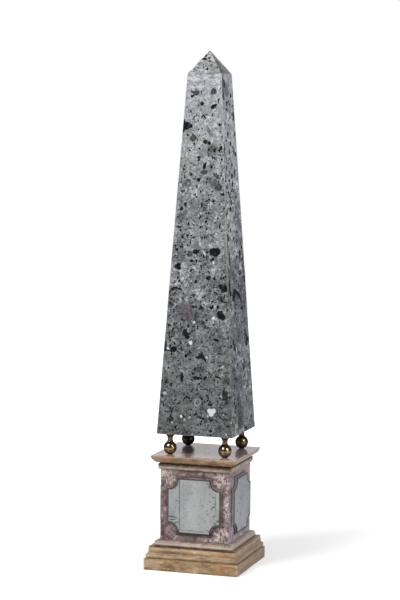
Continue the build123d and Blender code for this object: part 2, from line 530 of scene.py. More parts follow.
@dataclass
class ShaftStone(Finish):
    """Polished grey breccia of one face of the shaft.

    A light matrix holds angular pebbles, black shards of several sizes, white specks and thin
    pale needles. The matrix grows darker and greener toward the foot.
    """

    cut: Triple
    lightness: Sequence[Point]
    cast: Colour = WHITE
    blackness: float = 1.0
    scale: float = 1.0
    contrast: float = 1.0
    stretch: Triple = (1.0, 1.0, 1.0)
    swarms: Sequence[Point] = (
        (253.5, 0.7), (420, 0.65), (500, 0.95), (600, 0.7),
        (720, 0.42), (820, 0.4), (880, 0.12), (918, 0.12),
    )
    calm: Sequence[Point] = ((253.5, 0.25), (430, 0.25), (500, 0.0), (620, 0.15), (830, 0.45), (918, 0.5))
    gloss: float = 0.1
    needle_strength: float = 1.0
    milk: float = 0.0
    large: Sequence[Fragment] = ()
    olive_arris: float = 0.0
    along_y: bool = False
    right_shade: float = 1.0
    foot_half: float = 73.5
    foot_level: float = 253.5
    head_level: float = 918.0
    draw: float = 0.06155
    ring_hollow: float = 0.62

    def paint(self) -> None:
        """Lays the matrix with its shards and fragments, draws the pale joints and painted highlight,
        tints it.
        """
        wandering = self.warped(self.warped(self.place, 9, 2.2), 3.5, 1.3)
        self.block = self.moved(wandering, self.cut, stretch=self.stretch)
        self.flat = self.moved(wandering, stretch=(0.0, 1.0, 1.0) if self.along_y else (1.0, 0.0, 1.0))
        self.masks = {
            kind: self.any_of(self.outline(one) for one in self.large if one.tone is kind)
            for kind in Tone
        }
        level = self.up - self.foot_level
        self.half = level * -self.draw + self.foot_half
        self.matrix()
        self.dark_shards()
        self.light_marks()
        self.large_ones()
        self.joint()
        self.colour = self.ramp(
            self.tone, (0.0, 14, 14, 17), (0.15, 38, 38, 41), (0.3, 76, 77, 78), (0.45, 114, 115, 116),
            (0.6, 152, 153, 155), (0.8, 204, 205, 209), (1.0, 246, 247, 249),
        )
        self.tint_places()
        rusty = self.span(self.noise(self.place, 12, 2), 0.35, 0.55, 0.3, 1.0)
        foot_line = self.span(level, 0.8, 2.4, 0.8, 0.0) * rusty
        colour = self.blend(foot_line, self.tint(self.colour, self.cast), shown(128, 104, 96))
        relief = self.noise(self.place, 2.5, 3, 0.65)
        self.surface(colour, self.span(self.tone, 0.1, 0.8, 0.26, 0.36), self.gloss, relief, 0.04)

    def levels(self, stops: Sequence[Point]) -> Wire:
        """Number that follows given levels up the shaft.

        Args:
            stops: Places up the shaft and the number there, lowest place first.

        Returns:
            The number.
        """
        low, high = self.foot_level, self.head_level
        along = self.slope(self.up, low, high)
        return self.ramp(along, *(((place - low) / (high - low), level) for place, level in stops)) + 0.0

    def vary(self, value: Wire, darkest: float, lightest: float) -> None:
        """Varies the lightness by a value from 0 to 1, as far as this face's contrast goes."""
        low, high = (1 + (edge - 1) * self.contrast for edge in (darkest, lightest))
        self.tone *= self.slope(value, 0, 1, low, high)

    def matrix(self) -> None:
        """Lays the lightness of the ground, its pebbles and its fine mottling."""
        self.tone = ground = self.levels(self.lightness)
        self.vary(self.slope(self.noise(self.block, 40, 4, 0.6), 0.3, 0.7), 0.84, 1.16)
        for size, darkest, lightest in ((16, 0.88, 1.1), (8, 0.84, 1.1), (3.2, 0.74, 1.24)):
            self.vary(self.cells(self.block, size * self.scale)[1][1], darkest, lightest)
        self.vary(self.slope(self.noise(self.block, 2.6, 2, 0.7), 0.3, 0.7), 0.74, 1.26)
        self.tone = self.between(self.levels(self.calm), self.tone, ground)

    def dark_shards(self) -> None:
        """Sinks black shards of three sizes into the ground, gathered in swarms."""
        turned = self.moved(self.block, turn=(20, 35, 10), stretch=(1, 1, 0.7))
        other = self.moved(self.block, (310, 170, 50), (0, -50, 0), (0.75, 1, 1))
        fewest, most = 0.35 * self.blackness, 1.7 * self.blackness
        swarm = self.span(self.noise(self.block, 45, 2), 0.35, 0.65, fewest, most)
        swarm *= self.levels(self.swarms)
        dapple = self.span(self.noise(self.block, 2.4, 2), 0.3, 0.7, 0.6, 1.7)
        for pattern, size, share, depth in (
            (turned, 12, 0.008, 0.15),
            (other, 6.0, 0.034, 0.09),
            (turned, 3.8, 0.12, 0.06),
            (other, 2.6, 0.13, 0.1),
        ):
            mask = self.shards(pattern, size * self.scale, swarm * share, 0.08, 0.03)
            self.tone = self.between(mask, self.tone, dapple * depth)

    def light_marks(self) -> None:
        """Adds thin pale needles, white specks and milky streaks near the head."""
        strokes = []
        for slant in (18, -52, 77):
            drawn = self.moved(self.block, (slant, 0, 0), (0, slant, 0), (1, 1, 0.17))
            strokes.append(self.clasts(drawn, 7.5, 0.5, 0.06, 0.13, 0.03))
        self.tone += self.any_of(strokes) * (0.18 * self.needle_strength)
        speck = self.shards(self.moved(self.block, (70, 410, 230)), 5, 0.024)
        self.tone = self.between(speck * 0.7, self.tone, 0.78)
        if self.milk:
            head = self.span(self.up, self.head_level - 46, self.head_level - 20, 0, self.milk)
            swirled = self.moved(self.block, turn=(0, 18, 0), stretch=(0.55, 1, 1.3))
            swirl = self.noise(swirled, 9, 3, 0.6, 1.5)
            self.tone = self.between(head, self.tone, self.span(swirl, 0.34, 0.66, 0.48, 0.8))

    def large_ones(self) -> None:
        """Sets the large fragments of this face where they belong."""
        if not self.large:
            return
        dapple = self.span(self.cells(self.flat, 2.8)[1][2], 0.7, 0.85, 0.7, 3.2)
        soft = self.span(self.noise(self.flat, 4, 3, 0.65), 0.32, 0.68, 0.7, 1.35)
        if self.masks[Tone.FOG]:
            self.tone *= self.masks[Tone.FOG] * soft * -0.3 + 1.0
        for kind, strength, level in (
            (Tone.SMOKE, 1.0, soft * 0.26),
            (Tone.BLACK, 1.0, dapple * 0.06),
            (Tone.PLUM, 0.65, 0.37),
            (Tone.RING, 1.0, 0.52),
            (Tone.STREAK, 1.0, 0.56),
            (Tone.WHITE, 1.0, 0.8),
        ):
            if self.masks[kind]:
                mask = self.masks[kind] if strength == 1 else self.masks[kind] * strength
                self.tone = self.between(mask, self.tone, level)

    def outline(self, one: Fragment) -> Wire:
        """Mask of one large fragment, or of the pale rim for a ring.

        Args:
            one: The fragment.

        Returns:
            The mask.
        """
        foggy = one.tone is Tone.FOG
        centre, turn = (one.across, 0, one.up), (0, one.tilt, 0)
        if self.along_y:
            centre, turn = (0, one.across, one.up), (one.tilt, 0, 0)
        if one.height is None:
            return self.dot(self.flat, centre, one.width / 2, 0.8 if foggy else 0.3)
        half, soft = (one.width / 2, one.width / 2, one.height / 2), 0.7 if foggy else 0.3
        body = self.spot(self.flat, centre, half, turn, soft)
        if one.tone is not Tone.RING:
            return body
        hollow = tuple(part * self.ring_hollow for part in half)
        return body - self.spot(self.flat, centre, hollow, turn, soft)

    def stain(self, tone: Colour, where: Wire) -> None:
        """Tints some places with a pale tone."""
        self.colour = self.tint(self.colour, tone, where)

    def tint_places(self) -> None:
        """Greener toward the foot, mauve in the plum fragments and olive beside the near arris."""
        low = self.span(self.up, self.foot_level, self.foot_level + 420, 1.0, 0.35)
        self.stain(shown(251, 255, 249), low)
        drift = self.span(self.noise(self.place, 60, 2), 0.38, 0.62)
        self.stain(shown(244, 244, 255), drift * 0.7)
        if self.masks[Tone.PLUM]:
            self.stain(shown(255, 243, 248), self.masks[Tone.PLUM])
        if self.olive_arris:
            near = self.span(self.half - self.x, 1.5, 5, self.olive_arris, 0.0)
            near *= self.span(self.up, 400, 600, 1.0, 0.3)
            self.stain(shown(255, 252, 226), near)
        # The right face can be darkened as painted shade.
        if self.right_shade < 1:
            turned = self.span(self.x - abs(self.y), -1, 1)
            self.colour = self.shade(self.colour, self.between(turned, 1.0, self.right_shade))

    def joint(self) -> None:
        """Draws a pale line along the mitred arrises: joint filler and a painted highlight of the
        arrises.
        """
        line = self.span(self.half - self.aside("MINIMUM"), 0.7, 1.5, 0.85, 0.0)
        line *= self.span(self.noise(self.place, 30, 2), 0.35, 0.6, 0.45, 1.0)
        # Pale filler that also stands for the painted highlight of the arris.
        filler_and_highlight = self.levels(self.lightness) * 0.9 + 0.2
        self.tone = self.between(line, self.tone, filler_and_highlight)


@dataclass
class RoseStone(Finish):
    """Rose breccia of one side of the die: plum ground, pink pieces and white veins in patches."""

    cut: Triple
    shades: Sequence[tuple[float, ...]]
    veined: Sequence[Triple] = ()
    blush_above: float | None = None
    tablet_middle: float = 121
    tablet_half: float = 53.5
    notch_middle: float = 48
    notch_radius: float = 14

    def paint(self) -> None:
        """Lays ground, veins and dark dots, a blush with painted shade, and painted shadow round the
        tablet.
        """
        wandering = self.warped(self.place, 7, 2.4, 3)
        block = self.moved(wandering, self.cut)
        piece = self.cells(block, 7)[1][0]
        grain = self.noise(block, 2.4, 3, 0.7)
        tone = (piece - 0.5) * 0.3 + self.noise(block, 18, 4, 0.62)
        tone = (grain - 0.5) * 0.45 + tone
        colour = self.ramp(tone, *self.shades)
        patches = [self.spot(wandering, centre, (20, 20, 20), soft=1.0) for centre in self.veined]
        where = self.any_of([self.span(self.noise(block, 30, 2), 0.5, 0.64, 0.12, 0.85), *patches])
        slanted = self.moved(block, turn=(25, 35, 0), stretch=(1, 1, 0.5))
        lines = [
            self.span(self.border(slanted, 9), 0.008, 0.045, 1, 0),
            self.shards(slanted, 4, 0.2) * 0.8,
            self.veins(block, 16, 0.025),
        ]
        for tilt, size, low in ((48, 6, 0.615), (-40, 6.5, 0.6)):
            leaning = self.moved(self.moved(block, turn=(0, tilt, 0)), stretch=(1, 1, 0.3))
            lines.append(self.span(self.noise(leaning, size, 3, 0.6), low, low + 0.05))
        white = self.any_of(lines) * where
        dots = self.shards(self.moved(block, (200, 500, 100)), 5, 0.07)
        for mask, marks in (
            (where * 0.2, shown(156, 137, 134)),
            (white * 0.8, shown(212, 201, 197)),
            (dots * 0.7, shown(58, 42, 46)),
        ):
            colour = self.blend(mask, colour, marks)
        # Pinker and darker toward the top: the stone's blush, with painted shade under the necking.
        if self.blush_above is not None:
            blush_and_shade = self.span(self.axes(wandering)[2], self.blush_above, self.blush_above + 18)
            colour = self.tint(colour, shown(238, 219, 221), blush_and_shade)
        # Dark ring round the tablet: painted shadow of the tablet on the die.
        tablet_shadow = self.span(self.from_tablet(), 0.5, 5, 0.62, 0.0)
        colour = self.blend(tablet_shadow, colour, shown(74, 60, 63))
        self.surface(colour, self.span(tone, 0.2, 0.8, 0.34, 0.44), 0.2, grain, 0.06)

    def from_tablet(self) -> Wire:
        """Distance outward from the notched outline of the tablet on this face.

        Returns:
            The distance.
        """
        aside, above = self.aside("MINIMUM"), abs(self.up - self.tablet_middle)
        beyond = self.maths("MAXIMUM", aside, above) - self.tablet_half
        corner = self.out("CombineXYZ", {0: aside, 1: above})
        reach = self.distance(corner, (self.notch_middle, self.notch_middle, 0.0))
        return self.maths("MAXIMUM", beyond, self.maths("SUBTRACT", self.notch_radius, reach))


@dataclass
class PanelStone(Finish):
    """Pale green-grey marble of a tablet's panel, with clouding, dark specks and a few cracks.

    A crack is given by its middle, across and up, by half its size both ways and by its tilt.
    """

    cut: Triple
    body: Colour
    cloud: Colour
    speck_share: float = 0.06
    speck_middle: float | None = None
    cracks: Sequence[tuple[float, ...]] = ()
    line_at: float | None = None
    streaks: float = 0.04
    fade: float = 0.09
    face: float = -72

    def paint(self) -> None:
        """Lays clouds, streaks, specks, cracks, joint dirt, and painted light below and painted shade
        above.
        """
        block = self.moved(self.warped(self.place, 12, 1.5), self.cut)
        drift = self.moved(block, turn=(0, 30, 0), stretch=(1, 1, 0.45))
        colour = self.blend(self.span(self.noise(drift, 20, 4, 0.6), 0.35, 0.68), self.body, self.cloud)
        upright = self.noise(self.moved(block, stretch=(1, 1, 0.2)), 8, 3, 0.6)
        colour = self.mottle(colour, upright, 1 - self.streaks, 1 + self.streaks * 0.5)
        grain = self.noise(block, 2.2, 3, 0.7)
        colour = self.mottle(colour, grain, 0.78, 1.12)
        # Lighter toward the foot and darker toward the top: painted light from below and painted shade
        # under the cap.
        colour = self.shade(colour, self.slope(self.up, 72, 168, 1 + self.fade, 1 - self.fade))
        specks = self.shards(block, 4.2, self.speck_share)
        if self.speck_middle is not None:
            near = self.span(self.x, self.speck_middle - 40, self.speck_middle, 0.25, 1.0)
            specks *= near
            colour = self.shade(colour, self.span(near, 0.25, 1.0, 1.0, 0.88))
        loose = self.warped(self.place, 6, 1.2, 3)
        marks = [
            self.spot(loose, (across, self.face, up), (wide, 1000, high), (0, tilt, 0), 0.8)
            for across, up, wide, high, tilt in self.cracks
        ]
        colour = self.blend(self.any_of([specks, *marks]) * 0.85, colour, shown(58, 64, 64))
        if self.line_at is not None:
            patchy = self.span(self.noise(self.place, 9, 2), 0.35, 0.6, 0.35, 0.9)
            line = self.span(abs(self.x - self.line_at), 0.4, 1.3, 1, 0) * patchy
            colour = self.blend(line, colour, shown(62, 68, 68))
        self.surface(colour, self.span(grain, 0.3, 0.7, 0.34, 0.44), 0.3, grain, 0.04, 0.4)


@dataclass
class OchreStone(Finish):
    """Ochre marble of the cap, base moulding and plinth, with streaks, rust and pink patches."""

    cut: Triple
    joints: Sequence[Line] = ()
    rubbed: Sequence[Line] = ()
    gloss: float = 0.35
    roughness: float = 0.36
    lilac_above: float | None = None
    worn_from: float = 66
    arris_at: float = 296.6
    corner_at: float | None = None
    cast: Colour = WHITE

    def paint(self) -> None:
        """Lays the ground, patches, veins and pits, painted shade and dirt, and wear with painted
        highlights.
        """
        block = self.moved(self.warped(self.place, 14, 3), self.cut)
        bedded = self.moved(block, stretch=(1, 1, 3.2))
        colour = self.ramp(
            self.noise(bedded, 26, 5, 0.62), (0.28, 104, 80, 52), (0.42, 140, 114, 80),
            (0.52, 162, 136, 100), (0.62, 180, 153, 118), (0.75, 200, 174, 144),
        )
        for shift, size, low, most, patch in (
            ((200, 100, 0), 30, 0.56, 0.6, shown(188, 132, 84)),
            ((500, 300, 100), 24, 0.55, 0.55, shown(190, 158, 142)),
        ):
            where = self.span(self.noise(self.moved(block, shift), size, 3), low, 0.7, 0, most)
            colour = self.blend(where, colour, patch)
        # Greyer on the two sides: painted shade.
        colour = self.blend(self.sideways(0, 0.55), colour, shown(146, 128, 112))
        slanted = self.moved(block, turn=(0, 0, 40), stretch=(0.7, 1, 1.8))
        colour = self.blend(self.veins(slanted, 30, 0.02) * 0.55, colour, shown(118, 78, 46))
        if self.lilac_above is not None:
            colour = self.top_face(colour, block)
        grain = self.noise(bedded, 3, 3, 0.7)
        streak = self.noise(self.moved(block, (100, 200, 300), stretch=(0.4, 0.4, 2.2)), 7, 3, 0.6)
        for part in (grain, streak):
            colour = self.mottle(colour, part, 0.76, 1.16)
        pits = self.clasts(block, 6, 0.1, 0.1, 0.24)
        colour = self.tint(self.blend(pits * 0.55, colour, shown(92, 68, 44)), self.cast)
        # Pale upright corners: wear, with a painted highlight.
        if self.corner_at is not None:
            corner = abs(self.x) + abs(self.y)
            worn_and_highlit_corner = self.span(corner, self.corner_at - 5, self.corner_at - 1, 0, 0.8)
            worn_and_highlit_corner *= self.span(self.noise(block, 8, 3), 0.4, 0.55, 0.2, 1.0)
            colour = self.blend(worn_and_highlit_corner, colour, shown(216, 184, 162))
        # Pale lines: wear with painted highlights on edges; dark lines: dirt with painted shade in joints
        # and recesses.
        colour = self.lined(colour, self.rubbed, shown(224, 204, 176))
        colour = self.lined(colour, self.joints, DIRT_AND_SHADE)
        roughness = self.span(grain, 0.3, 0.7, self.roughness - 0.06, self.roughness + 0.06)
        self.surface(colour, roughness, self.gloss, grain - pits, 0.08)

    def top_face(self, colour: Wire, block: Wire) -> Wire:
        """Lilac clouds on the top, partly painted reflection, and its rubbed arris with a painted
        highlight.

        Args:
            colour: Colour of the stone.
            block: Where its patterns are read.

        Returns:
            The clouded colour.
        """
        outward = self.aside("MAXIMUM")
        cloudy = self.span(self.noise(block, 24, 4), 0.42, 0.6, 0.15, 0.95)
        cloudy *= self.span(outward, self.worn_from, self.worn_from + 9, 1.0, 0.2)
        # The lilac on the top is partly the stone and partly a painted reflection of the backdrop.
        top = self.span(self.up, self.lilac_above - 1, self.lilac_above)
        colour = self.blend(top * cloudy, colour, shown(152, 143, 163))
        # Pale band along the top arris: wear, with a painted highlight.
        rubbed = self.span(outward + self.up, self.arris_at - 3, self.arris_at, 0, 0.6)
        return self.blend(rubbed, colour, shown(206, 186, 166))


@dataclass
class PinkBrownStone(Finish):
    """Pink-brown marble of the foot slab and necking."""

    cut: Triple
    joints: Sequence[Line] = ()
    rubbed: Sequence[Line] = ()
    pale_sides: float = 0.1

    def paint(self) -> None:
        """Lays ground, olive patches and veins, dirt with painted shade, and wear with painted
        highlights.
        """
        block = self.moved(self.warped(self.place, 10, 2), self.cut)
        colour = self.ramp(
            self.noise(self.moved(block, stretch=(1, 1, 2.4)), 18, 5, 0.62), (0.28, 108, 86, 74),
            (0.45, 146, 124, 108), (0.56, 168, 148, 132), (0.72, 192, 178, 166),
        )
        olive = self.span(self.noise(self.moved(block, (300, 600, 100)), 26, 3), 0.5, 0.68, 0, 0.5)
        colour = self.blend(olive, colour, shown(150, 142, 118))
        colour = self.blend(self.veins(block, 22, 0.02) * 0.4, colour, shown(206, 192, 184))
        grain = self.noise(block, 2.6, 3, 0.7)
        colour = self.mottle(colour, grain, 0.76, 1.16)
        colour = self.blend(self.sideways(0, self.pale_sides), colour, shown(194, 184, 178))
        # Pale lines: wear with painted highlights on edges; dark lines: dirt with painted shade in joints
        # and recesses.
        colour = self.lined(colour, self.rubbed, shown(226, 210, 196))
        colour = self.lined(colour, self.joints, DIRT_AND_SHADE)
        self.surface(colour, self.span(grain, 0.3, 0.7, 0.32, 0.42), 0.3, grain, 0.06)


@dataclass
class FrameStone(Finish):
    """Grey marble of the tablets' moulded frames, with dirt and painted shade at the foot of the
    moulding.
    """

    shades: Sequence[tuple[float, ...]]
    shadow_reach: float
    face: float = 67
    lowest: float = 67

    def paint(self) -> None:
        """Lays the ground and veins, darkened as dirt and painted shade by how far it stands off the die.
        """
        block = self.warped(self.place, 8, 1.5)
        ground = self.noise(block, 9, 4, 0.65)
        colour = self.ramp(ground, *self.shades)
        colour = self.blend(self.veins(block, 14, 0.025) * 0.4, colour, shown(170, 168, 162))
        # Darker at the foot of the moulding and in the quirk: painted shade with some dirt.
        shade_and_soil = self.ramp(
            self.slope(self.aside("MAXIMUM"), self.face, self.face + 6), (0.0, 170, 162, 162),
            (0.16, 240, 236, 236), (0.6, 255, 253, 252), (0.7, 206, 204, 202), (0.78, 126, 124, 122),
            (0.84, 150, 150, 148), (0.92, 178, 178, 176),
        )
        # Darker toward the lower bar: painted shade.
        dark, lit = self.lowest + 4, self.lowest + self.shadow_reach
        shade_and_soil = self.shade(shade_and_soil, self.span(self.up, dark, lit, 0.4, 1.0))
        self.surface(self.tint(colour, shade_and_soil), self.span(ground, 0.3, 0.7, 0.3, 0.42), 0.3, ground, 0.06)


@dataclass
class CoreStone(Finish):
    """Plain rough limestone of the hidden cores and of the shaft's underside."""

    def paint(self) -> None:
        """Lays a clouded ground."""
        ground = self.noise(self.place, 12, 5, 0.65)
        colour = self.ramp(ground, (0.3, 104, 100, 94), (0.5, 134, 129, 121), (0.72, 162, 156, 146))
        self.surface(colour, 0.8, 0.2, self.noise(self.place, 3, 4, 0.7), 0.3, 1.0)


@dataclass
class AgedBrass(Finish):
    """Turned brass with worn gilding: gold where it is rubbed, brown in its hollows."""

    ball_level: float
    ball_radius: float
    dullness: float = 0.0
    tarnish: Colour = shown(84, 66, 46)

    def paint(self) -> None:
        """Lays the gilding, browned in patches, at the neck and under the ball."""
        block = self.warped(self.place, 6, 1)
        fine = self.noise(block, 1.2, 3, 0.6)
        height, radius = self.up - self.ball_level, self.ball_radius
        neck = self.span(height, radius * 0.72, radius * 1.15, 0.0, 0.5)
        under = self.span(height, -radius * 0.5, -radius * 0.95, 0.0, 0.55)
        stain = self.noise(block, 5, 4, 0.65)
        brown = self.span(stain, 0.4, 0.66, 0.05 + self.dullness, 0.6 + self.dullness)
        brown += self.maths("MAXIMUM", neck, under)
        colour = self.blend(self.span(brown, 0, 1), shown(168, 146, 106), self.tarnish)
        self.surface(colour, self.span(brown + fine, 0.4, 1.6, 0.13, 0.36), 0.5, fine, 0.03, 0.4)
        self.feed("Metallic", 1.0)
        self.feed("Specular Tint", shown(58, 44, 30))
        slant = self.out("LayerWeight", {"Blend": 0.5}, "Facing")
        self.feed("Coat Weight", self.span(slant, 0.3, 0.6, 0.6, 0.0))
        self.feed("Coat Roughness", 0.1)


@dataclass
class FloorPaint(Finish):
    """Pale matt paint, which looks white to the camera away from the object."""

    def paint(self) -> None:
        """Lays one even colour, lifted for the camera only."""
        self.feed("Base Color", shown(222, 222, 222))
        self.feed("Roughness", 0.9)
        self.feed("Specular IOR Level", 0.0)
        away = self.vectors("LENGTH", self.place, output="Value")
        seen = self.out("LightPath", output="Is Camera Ray")
        self.feed("Emission Color", WHITE)
        self.feed("Emission Strength", seen * self.span(away, 150, 1200, 0.42, 1.0))


# ---- working on a mesh ---------------------------------------------------------------------


class Workpiece:
    """One mesh piece under work. Its object stays at the origin, and its place is in its mesh."""

    def __init__(self, name: str, size: float, centre: Triple) -> None:
        """Starts a piece as a flat square plate.

        Args:
            name: The piece's name.
            size: Width of the plate.
            centre: Its middle.
        """
        bpy.ops.object.select_all(action="DESELECT")
        bpy.ops.mesh.primitive_plane_add(size=size, location=centre)
        self.take(bpy.context.object, name)

    def take(self, obj: bpy.types.Object, name: str) -> None:
        """Names the active object and puts its place into its mesh.

        Args:
            obj: The active object.
            name: Its new name.
        """
        obj.name = obj.data.name = name
        self.obj = obj
        bpy.ops.object.transform_apply(location=True, rotation=True, scale=True)

    def select(self) -> None:
        """Makes this the only selected and the active object."""
        bpy.ops.object.select_all(action="DESELECT")
        self.obj.select_set(True)
        bpy.context.view_layer.objects.active = self.obj

    def edit(self) -> None:
        """Enters edit mode with everything selected."""
        self.select()
        bpy.ops.object.mode_set(mode="EDIT")
        bpy.ops.mesh.select_all(action="SELECT")

    def edit_none(self, kind: str) -> None:
        """Enters edit mode with nothing selected.

        Args:
            kind: What is to be picked: VERT, EDGE or FACE.
        """
        self.edit()
        bpy.ops.mesh.select_mode(type=kind)
        bpy.ops.mesh.select_all(action="DESELECT")

    def rest(self) -> None:
        """Leaves edit mode."""
        bpy.ops.object.mode_set(mode="OBJECT")

    def trace(self, start: Point, points: Sequence[Point]) -> None:
        """Merges the plate into one point and draws an upright line from it, left in edit mode.

        Args:
            start: Where the plate's middle is, across and up.
            points: The line's corners, across and up.
        """
        self.edit()
        bpy.ops.mesh.select_mode(type="VERT")
        bpy.ops.mesh.select_all(action="SELECT")
        bpy.ops.mesh.merge(type="CENTER")
        here = start
        for number, (across, up) in enumerate(points):
            move = (across - here[0], 0, up - here[1])
            if number:
                bpy.ops.mesh.extrude_vertices_move(TRANSFORM_OT_translate={"value": move})
            else:
                bpy.ops.transform.translate(value=move)
            here = (across, up)
        bpy.ops.mesh.select_all(action="SELECT")

    def pick_faces(self, level: float) -> None:
        """Enters edit mode with only some of the faces that look along Y selected.

        Args:
            level: Where they are on Y.
        """
        self.edit_none("FACE")
        self.rest()
        for face in self.obj.data.polygons:
            face.select = abs(face.center.y - level) < HAIR and abs(face.normal.y) > 0.9
        bpy.ops.object.mode_set(mode="EDIT")

    def raise_rings(self, rings: Sequence[Point]) -> None:
        """Raises a square plate ring by ring, each drawn in or out to its own reach.

        Args:
            rings: Reach from the axis and level of each ring. The first is the plate.
        """
        self.edit()
        for (reach, level), (next_reach, next_level) in zip(rings, rings[1:]):
            rise = (0, 0, next_level - level)
            bpy.ops.mesh.extrude_region_move(TRANSFORM_OT_translate={"value": rise})
            factor = next_reach / reach
            bpy.ops.transform.resize(value=(factor, factor, 1), center_override=(0, 0, next_level))
        self.rest()
        self.close()

    def close(self) -> None:
        """Merges doubles and turns every face outward."""
        self.edit()
        bpy.ops.mesh.remove_doubles(threshold=WELD)
        bpy.ops.mesh.normals_make_consistent(inside=False)
        self.rest()

    def cut_off(self, point: Triple, normal: Triple) -> None:
        """Cuts away all that lies beyond a plane and closes the cut.

        Args:
            point, normal: The plane.
        """
        self.edit()
        bpy.ops.mesh.bisect(plane_co=point, plane_no=normal, use_fill=True, clear_outer=True)
        self.rest()
        self.close()

    def stations(self, axis: int, places: Iterable[float]) -> None:
        """Cuts rings of new edges across the piece, so that long edges can be shaped.

        Args:
            axis: 0 for cuts across X, 1 across Y, 2 across Z.
            places: Where the cuts are.
        """
        normal = [float(number == axis) for number in range(3)]
        self.edit()
        for place in places:
            bpy.ops.mesh.select_all(action="SELECT")
            bpy.ops.mesh.bisect(plane_co=[part * place for part in normal], plane_no=normal)
        self.rest()

    def apply(self, kind: str, **settings: object) -> None:
        """Adds a modifier, sets it and applies it.

        Args:
            kind: The modifier's type.
            settings: Its settings.
        """
        self.select()
        modifier = self.obj.modifiers.new(kind.title(), kind)
        for name, value in settings.items():
            setattr(modifier, name, value)
        bpy.ops.object.modifier_apply(modifier=modifier.name)

    def soften(self, width: float) -> None:
        """Rounds every sharp edge."""
        self.apply("BEVEL", width=width, segments=2, limit_method="ANGLE", angle_limit=ROUNDED)

    def weather(self, depth: float, grain: float) -> None:
        """Rubs the sharp edges away by uneven amounts, always inward.

        Args:
            depth: The deepest rub.
            grain: Length of the uneven stretches.
        """
        self.edit_none("EDGE")
        bpy.ops.mesh.edges_select_sharp(sharpness=SHARP)
        bpy.ops.object.vertex_group_assign_new()
        self.rest()
        clouds = bpy.data.textures.new(self.obj.name + "_rub", "CLOUDS")
        clouds.noise_scale, clouds.noise_depth, clouds.contrast = grain, 2, 1.6
        self.apply(
            "DISPLACE", texture=clouds, texture_coords="LOCAL", direction="NORMAL", mid_level=-0.1,
            strength=-depth, vertex_group=self.obj.vertex_groups[-1].name,
        )
        self.obj.vertex_groups.clear()

    def nick(self, centre: Triple, radius: float, push: Triple) -> None:
        """Pushes the points near a place inward, as a small chip.

        Args:
            centre: Middle of the chip.
            radius: Its reach.
            push: How far its points move.
        """
        self.edit_none("VERT")
        self.rest()
        for point in self.obj.data.vertices:
            point.select = (point.co - Vector(centre)).length < radius
        bpy.ops.object.mode_set(mode="EDIT")
        bpy.ops.transform.translate(value=push)
        self.rest()

    def smooth(self, angle: float = 34) -> None:
        """Shades the piece smooth, apart from edges sharper than an angle in degrees."""
        self.select()
        bpy.ops.object.shade_smooth_by_angle(angle=math.radians(angle))

    def twin(self, name: str, turn: float = 0, shift: Triple = ZERO) -> "Workpiece":
        """Copy with its own mesh.

        Args:
            name: Name of the copy.
            turn: Its turn about the upright axis, in radians.
            shift: How far it is moved.

        Returns:
            The copy.
        """
        copy = Workpiece.__new__(Workpiece)
        copy.obj = self.obj.copy()
        copy.obj.data = self.obj.data.copy()
        bpy.context.scene.collection.objects.link(copy.obj)
        copy.obj.rotation_euler, copy.obj.location = (0, 0, turn), shift
        copy.select()
        copy.take(copy.obj, name)
        return copy

    def on_each_side(self, pattern: str) -> dict[Side, "Workpiece"]:
        """Sets copies of this front piece on the other three sides.

        Args:
            pattern: Name of each piece, with a place for the side's word.

        Returns:
            The four pieces by side.
        """
        return {
            side: self if side is Side.FRONT else self.twin(pattern.format(side.word), side.turn)
            for side in Side
        }

    def finish(self, finish: Finish, slot: str, nodes: Sequence[str]) -> None:
        """Dresses the piece, fixes it to the body and lets it stand for its CAD nodes.

        Args:
            finish: What it is made of.
            slot: Its material slot; not used.
            nodes: The CAD nodes that it replaces.
        """
        self.obj.data.materials.clear()
        self.obj.data.materials.append(finish.material)
        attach(self.obj, BODY)
        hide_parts(*nodes)
        log.info("%-28s %6d faces", self.obj.name, len(self.obj.data.polygons))


def carry(node: str, finish: Finish) -> None:
    """Keeps a CAD node as it is and gives it a finish.

    Args:
        node: The node.
        finish: What it is made of.
    """
    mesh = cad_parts[node].data
    if mesh.materials:
        mesh.materials[0] = finish.material
    else:
        mesh.materials.append(finish.material)
    log.info("%-28s carried over", node)


# ---- pedestal ------------------------------------------------------------------------------


@dataclass
class Course:
    """One course of the pedestal: a square block with the same edge all round."""

    node: str
    slot: str
    finish: Finish
    arris: float = 0.5 * MM
    rub: float = 0.5 * MM
    rub_grain: float = 5 * MM
    cut_spacing: float = 5.5 * MM

    def __post_init__(self) -> None:
        """Reads the course's place from the frame."""
        low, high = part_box(self.node)
        self.reach, self.bottom, self.top = high.x, low.z, high.z

    def rings(self) -> list[Point]:
        """Outline of the course's edge.

        Returns:
            Reach and level of each ring, from the bottom up.
        """
        return [(self.reach, self.bottom), (self.reach, self.top)]

    def build(self) -> None:
        """Raises the block, softens and rubs its edges, and dresses it."""
        rings = self.rings()
        piece = Workpiece(self.node + "_stone", 2 * rings[0][0], (0, 0, rings[0][1]))
        piece.raise_rings(rings)
        piece.soften(self.arris)
        count = int(self.reach / self.cut_spacing)
        for axis in (0, 1):
            piece.stations(axis, [self.cut_spacing * step for step in range(-count, count + 1)])
        piece.weather(self.rub, self.rub_grain)
        piece.smooth()
        piece.finish(self.finish, self.slot, [self.node])


